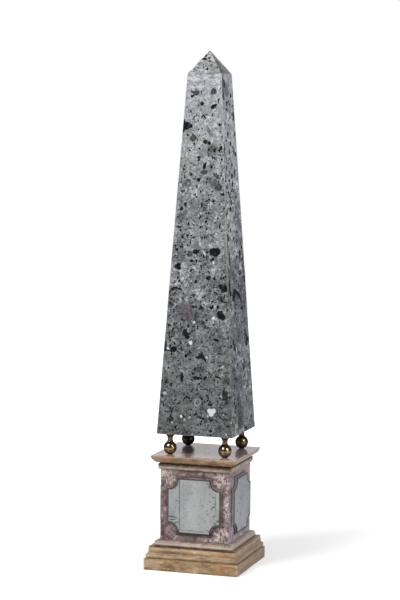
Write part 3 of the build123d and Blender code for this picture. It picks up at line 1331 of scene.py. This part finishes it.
@dataclass
class BaseMoulding(Course):
    """Shadow gap, rounded fillet, cove and a fascia that leans in a little."""

    fillet: float = 0.9 * MM
    gap_height: float = 1.0 * MM
    fillet_height: float = 6.2 * MM
    fascia_set_back: float = 4.2 * MM
    fascia_height: float = 9.0 * MM
    fascia_draw: float = 0.9 * MM

    def rings(self) -> list[Point]:
        """Outline of the course's edge.

        Returns:
            Reach and level of each ring, from the bottom up.
        """
        gap = self.reach - self.fillet
        low = self.bottom + self.gap_height
        high = low + self.fillet_height
        fascia = self.reach - self.fascia_set_back
        foot = self.top - self.fascia_height
        cove = (fascia + self.fascia_set_back * 0.2, high + (foot - high) * 0.45)
        return [
            (gap, self.bottom),
            (gap, low),
            *arc_through((gap, low), (self.reach, (low + high) / 2), (gap, high), 8),
            *arc_through((gap, high), cove, (fascia, foot), 6),
            (fascia - self.fascia_draw, self.top),
        ]


@dataclass
class FootSlab(Course):
    """Upright edge with a quarter round and a small step above it."""

    edge_height: float = 5.2 * MM
    step_height: float = 0.8 * MM

    def rings(self) -> list[Point]:
        """Outline of the course's edge.

        Returns:
            Reach and level of each ring, from the bottom up.
        """
        edge_top = self.bottom + self.edge_height
        step_bottom = self.top - self.step_height
        radius = step_bottom - edge_top
        inner = self.reach - radius
        slant = radius * math.sin(math.pi / 4)
        corner = (self.reach, edge_top)
        return [
            (self.reach, self.bottom),
            corner,
            *arc_through(corner, (inner + slant, edge_top + slant), (inner, step_bottom), 7),
            (inner, self.top),
        ]


@dataclass
class Necking(Course):
    """Quarter round, upright band and a recess under the cap."""

    round_radius: float = 3.5 * MM
    recess: float = 2.5 * MM
    recess_height: float = 1.8 * MM

    def rings(self) -> list[Point]:
        """Outline of the course's edge.

        Returns:
            Reach and level of each ring, from the bottom up.
        """
        radius = self.round_radius
        start = (self.reach - radius, self.bottom)
        slant = radius * math.sin(math.pi / 4)
        bend = (start[0] + slant, self.bottom + radius - slant)
        inner, recess_bottom = self.reach - self.recess, self.top - self.recess_height
        return [
            start,
            *arc_through(start, bend, (self.reach, self.bottom + radius), 6),
            (self.reach, recess_bottom),
            (inner, recess_bottom),
            (inner, self.top),
        ]


@dataclass
class Cap(Course):
    """Flat soffit, ovolo and a nearly upright edge."""

    soffit_set_back: float = 11.5 * MM
    edge_height: float = 4.5 * MM
    edge_draw: float = 1.4 * MM

    def rings(self) -> list[Point]:
        """Outline of the course's edge.

        Returns:
            Reach and level of each ring, from the bottom up.
        """
        inner, outer = self.reach - self.soffit_set_back, self.reach - self.edge_draw
        edge_bottom = self.top - self.edge_height
        bend = (inner + (outer - inner) * 0.62, self.bottom + (edge_bottom - self.bottom) * 0.42)
        start = (inner, self.bottom)
        return [start, *arc_through(start, bend, (outer, edge_bottom), 8), (self.reach, self.top)]


def mitred_slab(
    name: str, bottom: Point, top: Point, thickness: float, arris: float, rub: float
) -> Workpiece:
    """Front slab of a square or tapering block, mitred at both upright edges.

    Args:
        name: The slab's name.
        bottom, top: Reach from the axis and level of the lower and upper end.
        thickness: Thickness of the slab.
        arris: Width of its softened edges.
        rub: The deepest rub.

    Returns:
        The slab.
    """
    piece = Workpiece(name, 2 * bottom[0], (0, 0, bottom[1]))
    piece.raise_rings([bottom, top])
    rise = top[1] - bottom[1]
    piece.cut_off((0, 0, 0), (1, 1, 0))
    piece.cut_off((0, 0, 0), (-1, 1, 0))
    piece.cut_off((0, thickness - bottom[0], bottom[1]), (0, rise, top[0] - bottom[0]))
    piece.soften(arris)
    count = int(rise / SLAB_CUTS)
    piece.stations(2, [bottom[1] + rise * step / count for step in range(1, count)])
    piece.weather(rub, SLAB_CUTS)
    return piece


@dataclass
class Die:
    """The square die: four mitred slabs round a core, and a framed tablet on each side.

    The bead is given in millimetres, as steps inward and outward.
    """

    stones: dict[Side, RoseStone]
    panels: dict[Side, PanelStone]
    strip: PanelStone
    edgings: dict[Side, FrameStone]
    slab_thickness: float = 12 * MM
    tablet_width: float = 104 * MM
    notch: float = 19.5 * MM
    step: float = 4.0 * MM
    crest: float = 2.5 * MM
    skirt: float = 1.5 * MM
    lift: float = 1.6 * MM
    bead: Sequence[Point] = (
        (1.5, 0.5), (0.05, 1.9), (0.2, 1.1), (0.4, 0.55), (0.45, 0.15), (0.45, -0.15), (0.35, -0.5)
    )
    quirk: float = -0.5 * MM
    rub: float = 0.5 * MM
    panel_height: float = 5.2 * MM
    panel_gap: float = 0.1 * MM
    seam: float = SEAM_AT * MM
    seam_gap: float = 0.12 * MM

    def __post_init__(self) -> None:
        """Reads the die's place from the frame."""
        low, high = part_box("die_slab_front")
        self.reach, self.bottom, self.top = high.x, low.z, high.z
        self.middle = (low.z + high.z) / 2

    def build(self) -> None:
        """Builds the slabs, frames and panels, and dresses the hidden core."""
        carry("die_core", CoreStone("die_core_limestone"))
        ends = (self.reach, self.bottom), (self.reach, self.top)
        slab = mitred_slab("die_slab_front_stone", *ends, self.slab_thickness, SLIGHT_BEVEL, self.rub)
        edge = self.frame()
        panel = self.plate("panel_front_stone", self.crest + self.panel_gap, self.panel_height)
        panel.rest()
        strip = panel.twin("panel_front_strip_stone")
        strip.cut_off((self.seam - self.seam_gap, 0, 0), (1, 0, 0))
        for side, one in slab.on_each_side("die_slab_{}_stone").items():
            one.smooth()
            one.finish(self.stones[side], "rose_breccia", [f"die_slab_{side.word}"])
        for side, one in edge.on_each_side("frame_{}_stone").items():
            one.finish(self.edgings[side], "dark_grey_marble", [f"frame_{side.word}"])
        for side, one in panel.on_each_side("panel_{}_stone").items():
            if side is Side.FRONT:
                one.cut_off((self.seam + self.seam_gap, 0, 0), (-1, 0, 0))
            self.finish_panel(one, self.panels[side], f"panel_{side.word}")
        self.finish_panel(strip, self.strip, "panel_front_strip")

    def finish_panel(self, piece: Workpiece, stone: PanelStone, node: str) -> None:
        """Softens and dresses one panel.

        Args:
            piece, stone: The panel and its stone.
            node: The CAD node that it replaces.
        """
        piece.soften(SLIGHT_BEVEL)
        piece.smooth()
        piece.finish(stone, "pale_green_marble", [node])

    def outline(self, inset: float) -> list[Point]:
        """Points of the tablet with a stepped, hollow quarter round in each corner.

        Args:
            inset: How far the outline is drawn in from the frame's crest.

        Returns:
            The points, counter-clockwise from the lower end of the right side.
        """
        half, radius = self.tablet_width / 2, self.notch - self.step + inset
        middle, near, far = half - self.step, half - self.notch - inset, half - inset
        angles = [math.radians(270 - 90 * part / 8) for part in range(9)]
        hollow = [(middle + radius * math.cos(t), middle + radius * math.sin(t)) for t in angles]
        corner = [(far, near), *hollow, (near, far)]
        points = []
        for x_sign, y_sign in ((1, 1), (-1, 1), (-1, -1), (1, -1)):
            part = [(x * x_sign, self.middle + y * y_sign) for x, y in corner]
            points += part if x_sign == y_sign else part[::-1]
        return points

    def plate(self, name: str, inset: float, height: float) -> Workpiece:
        """Plate of the tablet's outline on the front of the die, with its outer face selected.

        Args:
            name: The piece's name.
            inset: How far the outline is drawn in from the frame's crest.
            height: How far it stands out from the die.

        Returns:
            The plate, in edit mode.
        """
        piece = Workpiece(name, 1 * MM, (0, -self.reach, self.middle))
        piece.trace((0, self.middle), self.outline(inset))
        bpy.ops.mesh.edge_face_add()
        bpy.ops.mesh.select_all(action="SELECT")
        bpy.ops.mesh.extrude_region_move(TRANSFORM_OT_translate={"value": (0, -height, 0)})
        piece.rest()
        piece.close()
        piece.pick_faces(-self.reach - height)
        return piece

    def frame(self) -> Workpiece:
        """Moulded frame of the front tablet: skirt, bead and a quirk beside the panel.

        Returns:
            The frame.
        """
        piece = self.plate("frame_front_stone", -self.skirt, self.lift)
        for inward, outward in self.bead:
            bpy.ops.mesh.inset(thickness=inward * MM, depth=outward * MM, use_even_offset=True)
        used, risen = (sum(part) * MM for part in zip(*self.bead))
        left = self.crest + self.skirt - used
        bpy.ops.mesh.inset(thickness=left, depth=self.quirk, use_even_offset=True)
        back = (0, self.lift + risen + self.quirk, 0)
        bpy.ops.mesh.extrude_region_move(TRANSFORM_OT_translate={"value": back})
        bpy.ops.mesh.delete(type="FACE")
        piece.rest()
        piece.pick_faces(-self.reach)
        bpy.ops.mesh.delete(type="ONLY_FACE")
        bpy.ops.mesh.select_mode(type="EDGE")
        bpy.ops.mesh.select_all(action="DESELECT")
        bpy.ops.mesh.select_non_manifold()
        bpy.ops.mesh.bridge_edge_loops()
        piece.rest()
        piece.close()
        piece.smooth(50)
        return piece


# ---- feet, shaft and pyramidion ------------------------------------------------------------


@dataclass
class BallFeet:
    """Four turned brass feet, each a ball on a small pad with a neck and a flared collar.

    The ring at the neck is given in millimetres, out and up from the ball's end.
    """

    pad: float = 4.5 * MM
    pad_edge: Point = (0.4 * MM, 0.3 * MM)
    neck: float = 4.95 * MM
    collar: float = 9.0 * MM
    collar_edge: float = 2.6 * MM
    flare_height: float = 6.0 * MM
    lip: float = 0.25 * MM
    ring: Sequence[Point] = ((0.9, 0.25), (1.2, 0.8), (0.9, 1.35), (0.0, 1.7))
    turns: int = 48

    def build(self) -> None:
        """Turns one foot and sets a copy under each corner of the shaft."""
        low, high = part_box("ball_foot_front_right")
        self.radius, self.bottom, self.top = (high.x - low.x) / 2, low.z, high.z
        self.ball_level = self.bottom + self.radius
        ball = (self.ball_level / MM, self.radius / MM)
        bright = AgedBrass("aged_gilt_brass", *ball)
        brasses = {
            "front_right": bright,
            # The back feet are browner and darker than the front ones: painted shade.
            "back_right": AgedBrass("dull_brass", *ball, 0.4),
            "back_left": AgedBrass("dark_brass", *ball, 0.7, shown(44, 37, 30)),
            "front_left": bright,
        }
        pattern = self.turn_foot()
        for corner, brass in brasses.items():
            node = f"ball_foot_{corner}"
            low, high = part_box(node)
            foot = pattern.twin(node + "_brass", 0, ((low.x + high.x) / 2, (low.y + high.y) / 2, 0))
            foot.finish(brass, "gilt_brass", [node])
        bpy.data.objects.remove(pattern.obj)

    def profile(self) -> list[Point]:
        """Radius and level along the foot's outline, from the pad up.

        Returns:
            The outline's points.
        """
        neck, ball = self.neck, (self.radius, self.ball_level)
        pad_top = ball[1] - math.sqrt(self.radius**2 - self.pad**2)
        neck_bottom = ball[1] + math.sqrt(self.radius**2 - neck**2)
        collar_bottom = self.top - self.collar_edge
        hollow_bottom = collar_bottom - self.flare_height
        bend = (neck + (self.collar - neck) * 0.4, collar_bottom - self.flare_height * 0.4)
        set_back, rise = self.pad_edge
        return [
            (self.pad - set_back, self.bottom),
            (self.pad, self.bottom + rise),
            *arc_through((self.pad, pad_top), ball, (neck, neck_bottom), 26),
            *((neck + out * MM, neck_bottom + up * MM) for out, up in self.ring),
            (neck, hollow_bottom),
            *arc_through((neck, hollow_bottom), bend, (self.collar, collar_bottom), 7),
            (self.collar, self.top - self.lip),
            (self.collar - self.lip, self.top),
        ]

    def turn_foot(self) -> Workpiece:
        """One foot on the upright axis, its outline spun round.

        Returns:
            The foot.
        """
        foot, head = (0.0, self.bottom), (0.0, self.top)
        piece = Workpiece("foot_pattern", 1 * MM, (0, 0, self.bottom))
        piece.trace(foot, [foot, *self.profile(), head])
        bpy.ops.mesh.spin(steps=self.turns, angle=math.tau, center=(0, 0, 0), axis=(0, 0, 1))
        piece.rest()
        piece.close()
        piece.smooth(40)
        return piece


@dataclass
class Shaft:
    """Tapering shaft of four mitred slabs, with its sole, core and pyramidion."""

    stones: dict[Side, ShaftStone]
    tip_stone: ShaftStone
    slab_thickness: float = 6 * MM
    arris: float = 0.35 * MM
    rub: float = 0.4 * MM
    blunt: float = 0.8 * MM
    tip_wear: float = 0.5 * MM
    tip_grain: float = 4 * MM
    tip_cuts: int = 12
    chip_above: float = 9 * MM
    chip_reach: float = 3 * MM
    chip_push: Triple = (0.8 * MM, 0.8 * MM, -0.3 * MM)

    def build(self) -> None:
        """Builds the four slabs and the pyramidion, and dresses the hidden solids."""
        foot_low, foot_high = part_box("shaft_slab_front")
        _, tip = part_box("pyramidion")
        foot, head = (foot_high.x, foot_low.z), (tip.x, foot_high.z)
        core = CoreStone("shaft_core_limestone")
        carry("shaft_core", core)
        carry("shaft_sole", core)
        sizes = (self.slab_thickness, self.arris, self.rub)
        slab = mitred_slab("shaft_slab_front_stone", foot, head, *sizes)
        for side, one in slab.on_each_side("shaft_slab_{}_stone").items():
            one.smooth()
            one.finish(self.stones[side], "green_breccia", [f"shaft_slab_{side.word}"])
        self.pyramidion(head, tip.z)

    def pyramidion(self, base: Point, tip_level: float) -> None:
        """Four-sided tip with a blunt point, rubbed arrises and a chip on one of them.

        Args:
            base: Reach and level of its foot.
            tip_level: Level of its point.
        """
        piece = Workpiece("pyramidion_stone", 2 * base[0], (0, 0, base[1]))
        piece.raise_rings([base, (self.blunt, tip_level)])
        piece.soften(self.tip_wear)
        rise, cuts = tip_level - base[1], self.tip_cuts
        piece.stations(2, [base[1] + rise * step / cuts for step in range(1, cuts)])
        piece.weather(self.tip_wear, self.tip_grain)
        reach = base[0] * (1 - self.chip_above / rise)
        piece.nick((-reach, -reach, base[1] + self.chip_above), self.chip_reach, self.chip_push)
        piece.smooth()
        piece.finish(self.tip_stone, "green_breccia", ["pyramidion"])


# ---- floor, light and camera ---------------------------------------------------------------


@dataclass
class Studio:
    """Pale floor, white surroundings, soft lamps and the camera. Angles are in degrees."""

    floor_size: float = 9.0
    floor_drop: float = 0.05 * MM
    camera_turn: float = 17.75
    camera_distance: float = 3.726
    camera_height: float = 0.861
    aim_aside: float = 0.218
    aim_down: float = 5.554
    camera_roll: float = 0.523
    lens: float = 120.57
    lens_plate: float = 36
    surround: float = 0.38
    room: float = 0.1
    backdrop_edge: float = 0.8
    backdrop_fade: float = 0.15
    lamp_aim: Triple = (0, 0, 0.45)
    lamps: Sequence[tuple[str, Triple, float, float]] = (
        ("key_lamp", (-1.5, -2.7, 3.3), 1.5, 128),
        ("fill_lamp", (3.0, -1.4, 2.4), 1.6, 56),
        ("bounce_lamp", (2.4, -0.8, 0.5), 1.0, 6),
    )

    def build(self) -> None:
        """Sets up everything round the object."""
        self.floor()
        self.world()
        for lamp in self.lamps:
            self.lamp(*lamp)
        self.camera()
        bpy.context.scene.view_settings.view_transform = "Standard"

    def floor(self) -> None:
        """Lays a pale matt floor that takes the object's shadow."""
        bpy.ops.object.select_all(action="DESELECT")
        bpy.ops.mesh.primitive_plane_add(size=self.floor_size, location=(0, 0, -self.floor_drop))
        plane = bpy.context.object
        plane.name = "floor"
        plane.data.materials.append(FloorPaint("pale_floor").material)

    def world(self) -> None:
        """White surroundings to look at, a softer light from them and a darker room in front.

        Polished faces see the white backdrop behind the object, and the dimmer room before it.
        """
        world = bpy.data.worlds.new("studio")
        world.use_nodes = True
        bpy.context.scene.world = world
        sky = Wiring()
        sky.tree = world.node_tree
        sky.tree.nodes.clear()
        kinds = ("Camera", "Glossy", "Transmission")
        rays = [sky.out("LightPath", output=f"Is {kind} Ray") for kind in kinds]
        turn = math.radians(self.camera_turn)
        ahead = (-math.sin(turn), math.cos(turn), 0.0)
        looking = sky.out("TexCoord", output="Generated")
        heading = sky.vectors("DOT_PRODUCT", looking, ahead, output="Value")
        full = self.backdrop_edge + self.backdrop_fade
        behind = sky.slope(heading, self.backdrop_edge, full, self.room, 1.0)
        brightest = sky.maths("MAXIMUM", rays[0], behind)
        lit, seen = (
            sky.out("Background", {"Color": WHITE, "Strength": strength})
            for strength in (self.surround, brightest)
        )
        sky.node("OutputWorld", {"Surface": sky.out("MixShader", {0: sky.any_of(rays), 1: lit, 2: seen})})

    def lamp(self, name: str, place: Triple, size: float, power: float) -> None:
        """Hangs one square soft lamp that looks at the middle of the object.

        Args:
            name: The lamp's name.
            place: Where it hangs.
            size: Width of its panel.
            power: Its power in watts.
        """
        light = bpy.data.lights.new(name, "AREA")
        light.size, light.energy = size, power
        aim = Vector(self.lamp_aim) - Vector(place)
        turn = aim.to_track_quat("-Z", "Y").to_matrix().to_4x4()
        self.hang(name, light, Matrix.Translation(place) @ turn)

    def hang(self, name: str, data: bpy.types.ID, place: Matrix) -> bpy.types.Object:
        """Adds an object to the scene.

        Args:
            name, data: Its name and its lamp or camera.
            place: Where it is and how it is turned.

        Returns:
            The object.
        """
        obj = bpy.data.objects.new(name, data)
        bpy.context.scene.collection.objects.link(obj)
        obj.matrix_world = place
        return obj

    def camera(self) -> None:
        """Stands the camera a little to the right of the front."""
        data = bpy.data.cameras.new("camera")
        data.sensor_width, data.lens = self.lens_plate, self.lens
        data.clip_start, data.clip_end = 0.1, 100
        turn, away = math.radians(self.camera_turn), self.camera_distance
        place = Matrix.Translation((away * math.sin(turn), -away * math.cos(turn), self.camera_height))
        heading = self.camera_turn + self.aim_aside
        for angle, axis in ((heading, "Z"), (90 - self.aim_down, "X"), (self.camera_roll, "Z")):
            place = place @ Matrix.Rotation(math.radians(angle), 4, axis)
        bpy.context.scene.camera = self.hang("camera", data, place)


# ---- the stones as they are cut ------------------------------------------------------------

FRONT_LIGHTNESS = (
    (253.5, 0.37), (330, 0.40), (430, 0.44), (500, 0.45), (560, 0.495),
    (640, 0.505), (700, 0.51), (770, 0.565), (830, 0.58), (918, 0.66),
)
RIGHT_LIGHTNESS = (
    (253.5, 0.48), (320, 0.48), (400, 0.49), (490, 0.44), (580, 0.50),
    (670, 0.60), (760, 0.64), (855, 0.65), (918, 0.65),
)

FRONT_FRAGMENTS = (
    *fragments(
        Tone.BLACK,
        (26, 593, 14), (34, 594, 13), (31, 588, 9), (-7, 592, 12, 9, -15), (45, 529, 14, 9, 25),
        (50, 526, 13), (43, 479, 11, 15, 20), (49, 474, 10), (39, 492, 6), (-24, 443, 9, 12, 10),
        (-19, 438, 8, 13, -10), (-41, 566, 14, 8, -30), (-38, 562, 8), (-50, 522, 6), (-8, 512, 6),
        (7, 490, 6), (57, 488, 5), (-13, 575, 9, 4), (31, 544, 5), (-20, 401, 6), (-43, 283, 6),
        (-37, 268, 6), (31, 265, 6), (19, 545, 12, 7, -25), (-5, 537, 6), (37, 432, 13, 5, 22),
        (-45, 411, 14, 10, -20), (11, 400, 19, 6, 40), (-27, 360, 6, 19), (2, 361, 16, 6),
        (42, 364, 14, 4, 35), (13, 288, 14, 4, 15), (-37, 822, 8, 26), (-31, 822, 12, 15),
        (-25, 822, 10, 7), (6, 794, 8), (13, 791, 7), (36, 783, 6), (6, 749, 6, 13, 20),
        (19, 748, 5), (-5, 724, 7), (-5, 781, 4), (-7, 765, 5), (38, 762, 5), (-1, 841, 3, 7, 30),
        (3, 839, 3, 9, -30), (-3, 862, 7), (20, 858, 13, 7, -35), (2, 678, 4, 12, 10), (43, 698, 5),
        (-37, 671, 7), (46, 673, 4), (-8, 692, 4),
    ),
    *fragments(
        Tone.SMOKE,
        (-18, 588, 11), (11, 529, 6), (-18, 800, 12), (17, 783, 6), (5, 738, 14, 9, -15),
        (33, 711, 15, 12), (13, 770, 5), (29, 868, 4, 11), (29, 731, 16, 6, 32),
        (-14, 882, 13, 9, -20), (19, 885, 11), (-25, 722, 9, 5, 10),
    ),
    *fragments(
        Tone.FOG,
        (46, 506, 22, 9, 20), (-34, 452, 13, 8), (11, 461, 9), (6, 377, 22, 11), (59, 360, 14),
        (20, 779, 19), (24, 720, 24, 14, 30), (13, 812, 7, 20, -28), (-28, 716, 20, 14),
        (8, 672, 9, 16), (-38, 655, 16),
    ),
    *fragments(Tone.PLUM, (-22, 481, 34, 29, 15)),
    *fragments(
        Tone.WHITE,
        (28, 302, 9), (36, 302, 9), (32, 298, 10, 13), (10, 590, 9, 3, 50), (28, 573, 5),
        (31, 472, 7), (-7, 463, 5), (-12, 425, 7), (-56, 413, 5), (-26, 289, 5), (29, 892, 4, 10, 15),
    ),
    *fragments(Tone.RING, (4, 316, 13, 14, 20)),
    *fragments(Tone.STREAK, (-44, 428, 4, 15, -40), (-41, 742, 12, 8, 30)),
)
RIGHT_FRAGMENTS = (
    *fragments(
        Tone.BLACK,
        (-9, 863, 9), (-12, 852, 9, 5), (29, 840, 9, 16), (-25, 827, 7), (-10, 808, 10, 9),
        (33, 807, 9), (17, 782, 8, 5), (20, 736, 8, 14), (3, 716, 8, 13), (-17, 670, 14, 9),
        (13, 659, 6), (-40, 619, 9, 14), (29, 583, 10, 18), (52, 542, 12, 26), (-43, 528, 11, 30),
        (-20, 512, 30, 15, 41), (6, 511, 36, 9, -27), (24, 484, 13, 8), (-37, 427, 8, 12),
        (44, 418, 15, 14), (-29, 413, 7), (20, 372, 11, 8),
    ),
    *fragments(
        Tone.SMOKE,
        (-18, 899, 14, 16), (-27, 876, 10, 14), (-5, 824, 8, 6), (-36, 730, 6, 8),
        (-10, 682, 14, 9), (12, 606, 7, 11), (-37, 578, 12, 26), (22, 550, 18, 12),
        (12, 527, 11, 9), (-7, 403, 9), (-48, 375, 12, 13), (24, 383, 8, 11), (-22, 275, 26),
    ),
    *fragments(Tone.FOG, (-26, 893, 20, 42), (-6, 887, 22, 26), (-20, 300, 24, 60)),
    *fragments(Tone.WHITE, (-13, 908, 5), (14, 894, 4), (-4, 841, 13, 11)),
)

SHAFT_STONES = {
    Side.FRONT: ShaftStone(
        "breccia_front", ZERO, FRONT_LIGHTNESS, large=FRONT_FRAGMENTS, olive_arris=0.8, milk=0.75
    ),
    Side.RIGHT: ShaftStone(
        "breccia_right", (370, 210, 110), RIGHT_LIGHTNESS, shown(249, 250, 255), blackness=0.5, scale=1.1,
        contrast=1.12, stretch=(1.0, 0.5, 0.75), swarms=((253.5, 1.0), (720, 1.0), (918, 0.8)),
        gloss=0.015, needle_strength=0.8, milk=0.3, large=RIGHT_FRAGMENTS, along_y=True,
    ),
    Side.BACK: ShaftStone("breccia_back", (910, 530, 290), FRONT_LIGHTNESS),
    Side.LEFT: ShaftStone("breccia_left", (1430, 870, 610), RIGHT_LIGHTNESS),
}
TIP_STONE = ShaftStone(
    "breccia_tip", (1900, 1100, 800), ((253.5, 0.585), (918, 0.585)), shown(255, 253, 249), 0.6,
    contrast=1.3, swarms=((253.5, 1.0), (918, 1.0)), gloss=0.05, right_shade=0.5,
)

# Dark lines darken the stone with dirt and painted shade in joints, recesses and under overhangs; pale
# lines lighten it with wear and painted highlights on edges.
PLINTH_STONE = OchreStone(
    "ochre_plinth", ZERO, joints=((0, 3.5, 0.35, 0.25), (22, 1.2, 0.2, 0.1)), corner_at=183
)
BASE_STONE = OchreStone(
    "ochre_base", (300, 200, 400),
    joints=((22, 1.4, 0.22, 0.1), (32.5, 3.6, 0.28, 0.0), (44, 1.8, 0.95, 0.4)),
    rubbed=((39.5, 3.0, 0.24, 0.2), (27.0, 2.5, 0.12, 0.15)),
)
FOOT_STONE = PinkBrownStone(
    "pink_brown_foot", ZERO, joints=((44, 1.2, 0.9, 0.5), (55, 3.2, 0.5, 0.2)),
    rubbed=((48.4, 2.2, 0.65, 0.2),), pale_sides=0.5,
)
# The dark lines at level 200 are the cap's painted shadow on the necking, with dirt; one is strong in
# front, the other at the sides.
NECKING_STONE = PinkBrownStone(
    "pink_brown_necking", (400, 300, 200),
    joints=((187, 2.0, 0.7, 0.5), (200, 9.2, 0.9, 0.25), (200, 5.8, 0.2, 1.0)),
)
CAP_STONE = OchreStone(
    "ochre_cap", (700, 500, 800), rubbed=((202.8, 2.4, 0.0, 0.6),), gloss=0.5, roughness=0.2,
    lilac_above=213.5, cast=shown(255, 249, 252),
)

ROSE_SHADES = (
    (0.22, 66, 48, 50), (0.38, 96, 76, 78), (0.5, 119, 99, 98),
    (0.64, 140, 120, 116), (0.82, 180, 162, 156),
)
LILAC_SHADES = ((0.2, 104, 95, 102), (0.4, 128, 118, 126), (0.56, 150, 140, 148), (0.75, 178, 168, 174))
FRONT_VEINS = ((-55, -67, 175), (52, -67, 172), (60, -67, 118), (52, -67, 66))
DIE_STONES = {
    Side.FRONT: RoseStone("rose_front", ZERO, ROSE_SHADES, FRONT_VEINS),
    Side.RIGHT: RoseStone("rose_right", (400, 100, 200), LILAC_SHADES, ((67, 50, 175),), 166),
    Side.BACK: RoseStone("rose_back", (900, 300, 500), ROSE_SHADES, ((50, 67, 70),)),
    Side.LEFT: RoseStone("rose_left", (1300, 600, 700), ROSE_SHADES, ((-67, -50, 170),)),
}

GREEN_PAIR = (shown(172, 174, 173), shown(154, 158, 158))
BLUE_PAIR = (shown(168, 169, 175), shown(150, 152, 159))
PANEL_CRACKS = (
    (43, 78, 1.6, 4.5, 25), (46.5, 97, 2.2, 2.4, 0), (41.5, 130, 0.6, 17, 0), (-6, 76, 24, 0.5, 1),
    (30, 161, 1.4, 2.2, 0), (41, 128, 1.2, 2.4, -20),
)
STRIP_CRACKS = (
    (-42, 100, 9, 1.5, 4), (-40, 95, 7, 1.1, -12), (-34, 90, 4, 1.0, -24), (-30, 72, 1.6, 4.0, 8),
)
PANEL_STONES = {
    Side.FRONT: PanelStone("panel_front", ZERO, *GREEN_PAIR, 0.2, 44.0, PANEL_CRACKS, SEAM_AT),
    Side.RIGHT: PanelStone("panel_right", (500, 200, 100), *BLUE_PAIR, streaks=0.14),
    Side.BACK: PanelStone("panel_back", (800, 500, 400), *GREEN_PAIR),
    Side.LEFT: PanelStone("panel_left", (1100, 900, 600), *BLUE_PAIR, streaks=0.14),
}
STRIP_STONE = PanelStone(
    "panel_strip", (100, 0, 600), shown(162, 167, 167), shown(144, 149, 152), 0.05, cracks=STRIP_CRACKS,
    line_at=SEAM_AT,
)
# The front and back frames have darker plum shades than the grey side frames: partly the stone, partly
# painted shade.
PLUM_FRAME = FrameStone(
    "tablet_frame_plum",
    ((0.3, 92, 80, 80), (0.5, 118, 106, 104), (0.64, 140, 129, 127), (0.78, 160, 151, 149)),
    shadow_reach=11,
)
GREY_FRAME = FrameStone(
    "tablet_frame_grey",
    ((0.3, 120, 119, 123), (0.5, 142, 141, 145), (0.64, 158, 157, 161), (0.78, 172, 171, 175)),
    shadow_reach=24,
)
EDGINGS = {Side.FRONT: PLUM_FRAME, Side.RIGHT: GREY_FRAME, Side.BACK: PLUM_FRAME, Side.LEFT: GREY_FRAME}


def main() -> None:
    """Builds the sub-assemblies in order, from the ground up, and then the studio."""
    logging.basicConfig(level=logging.INFO, format="%(name)s: %(message)s")
    courses = (
        Course("plinth", "yellow_marble", PLINTH_STONE, arris=1.3 * MM, rub=1.0 * MM),
        BaseMoulding("base_moulding", "yellow_marble", BASE_STONE),
        FootSlab("die_foot_slab", "pink_brown_marble", FOOT_STONE),
        Necking("necking", "pink_brown_marble", NECKING_STONE),
        Cap("cap", "yellow_marble", CAP_STONE),
    )
    for course in courses:
        course.build()
    Die(DIE_STONES, PANEL_STONES, STRIP_STONE, EDGINGS).build()
    BallFeet().build()
    Shaft(SHAFT_STONES, TIP_STONE).build()
    Studio().build()


if __name__ == "__main__":
    main()
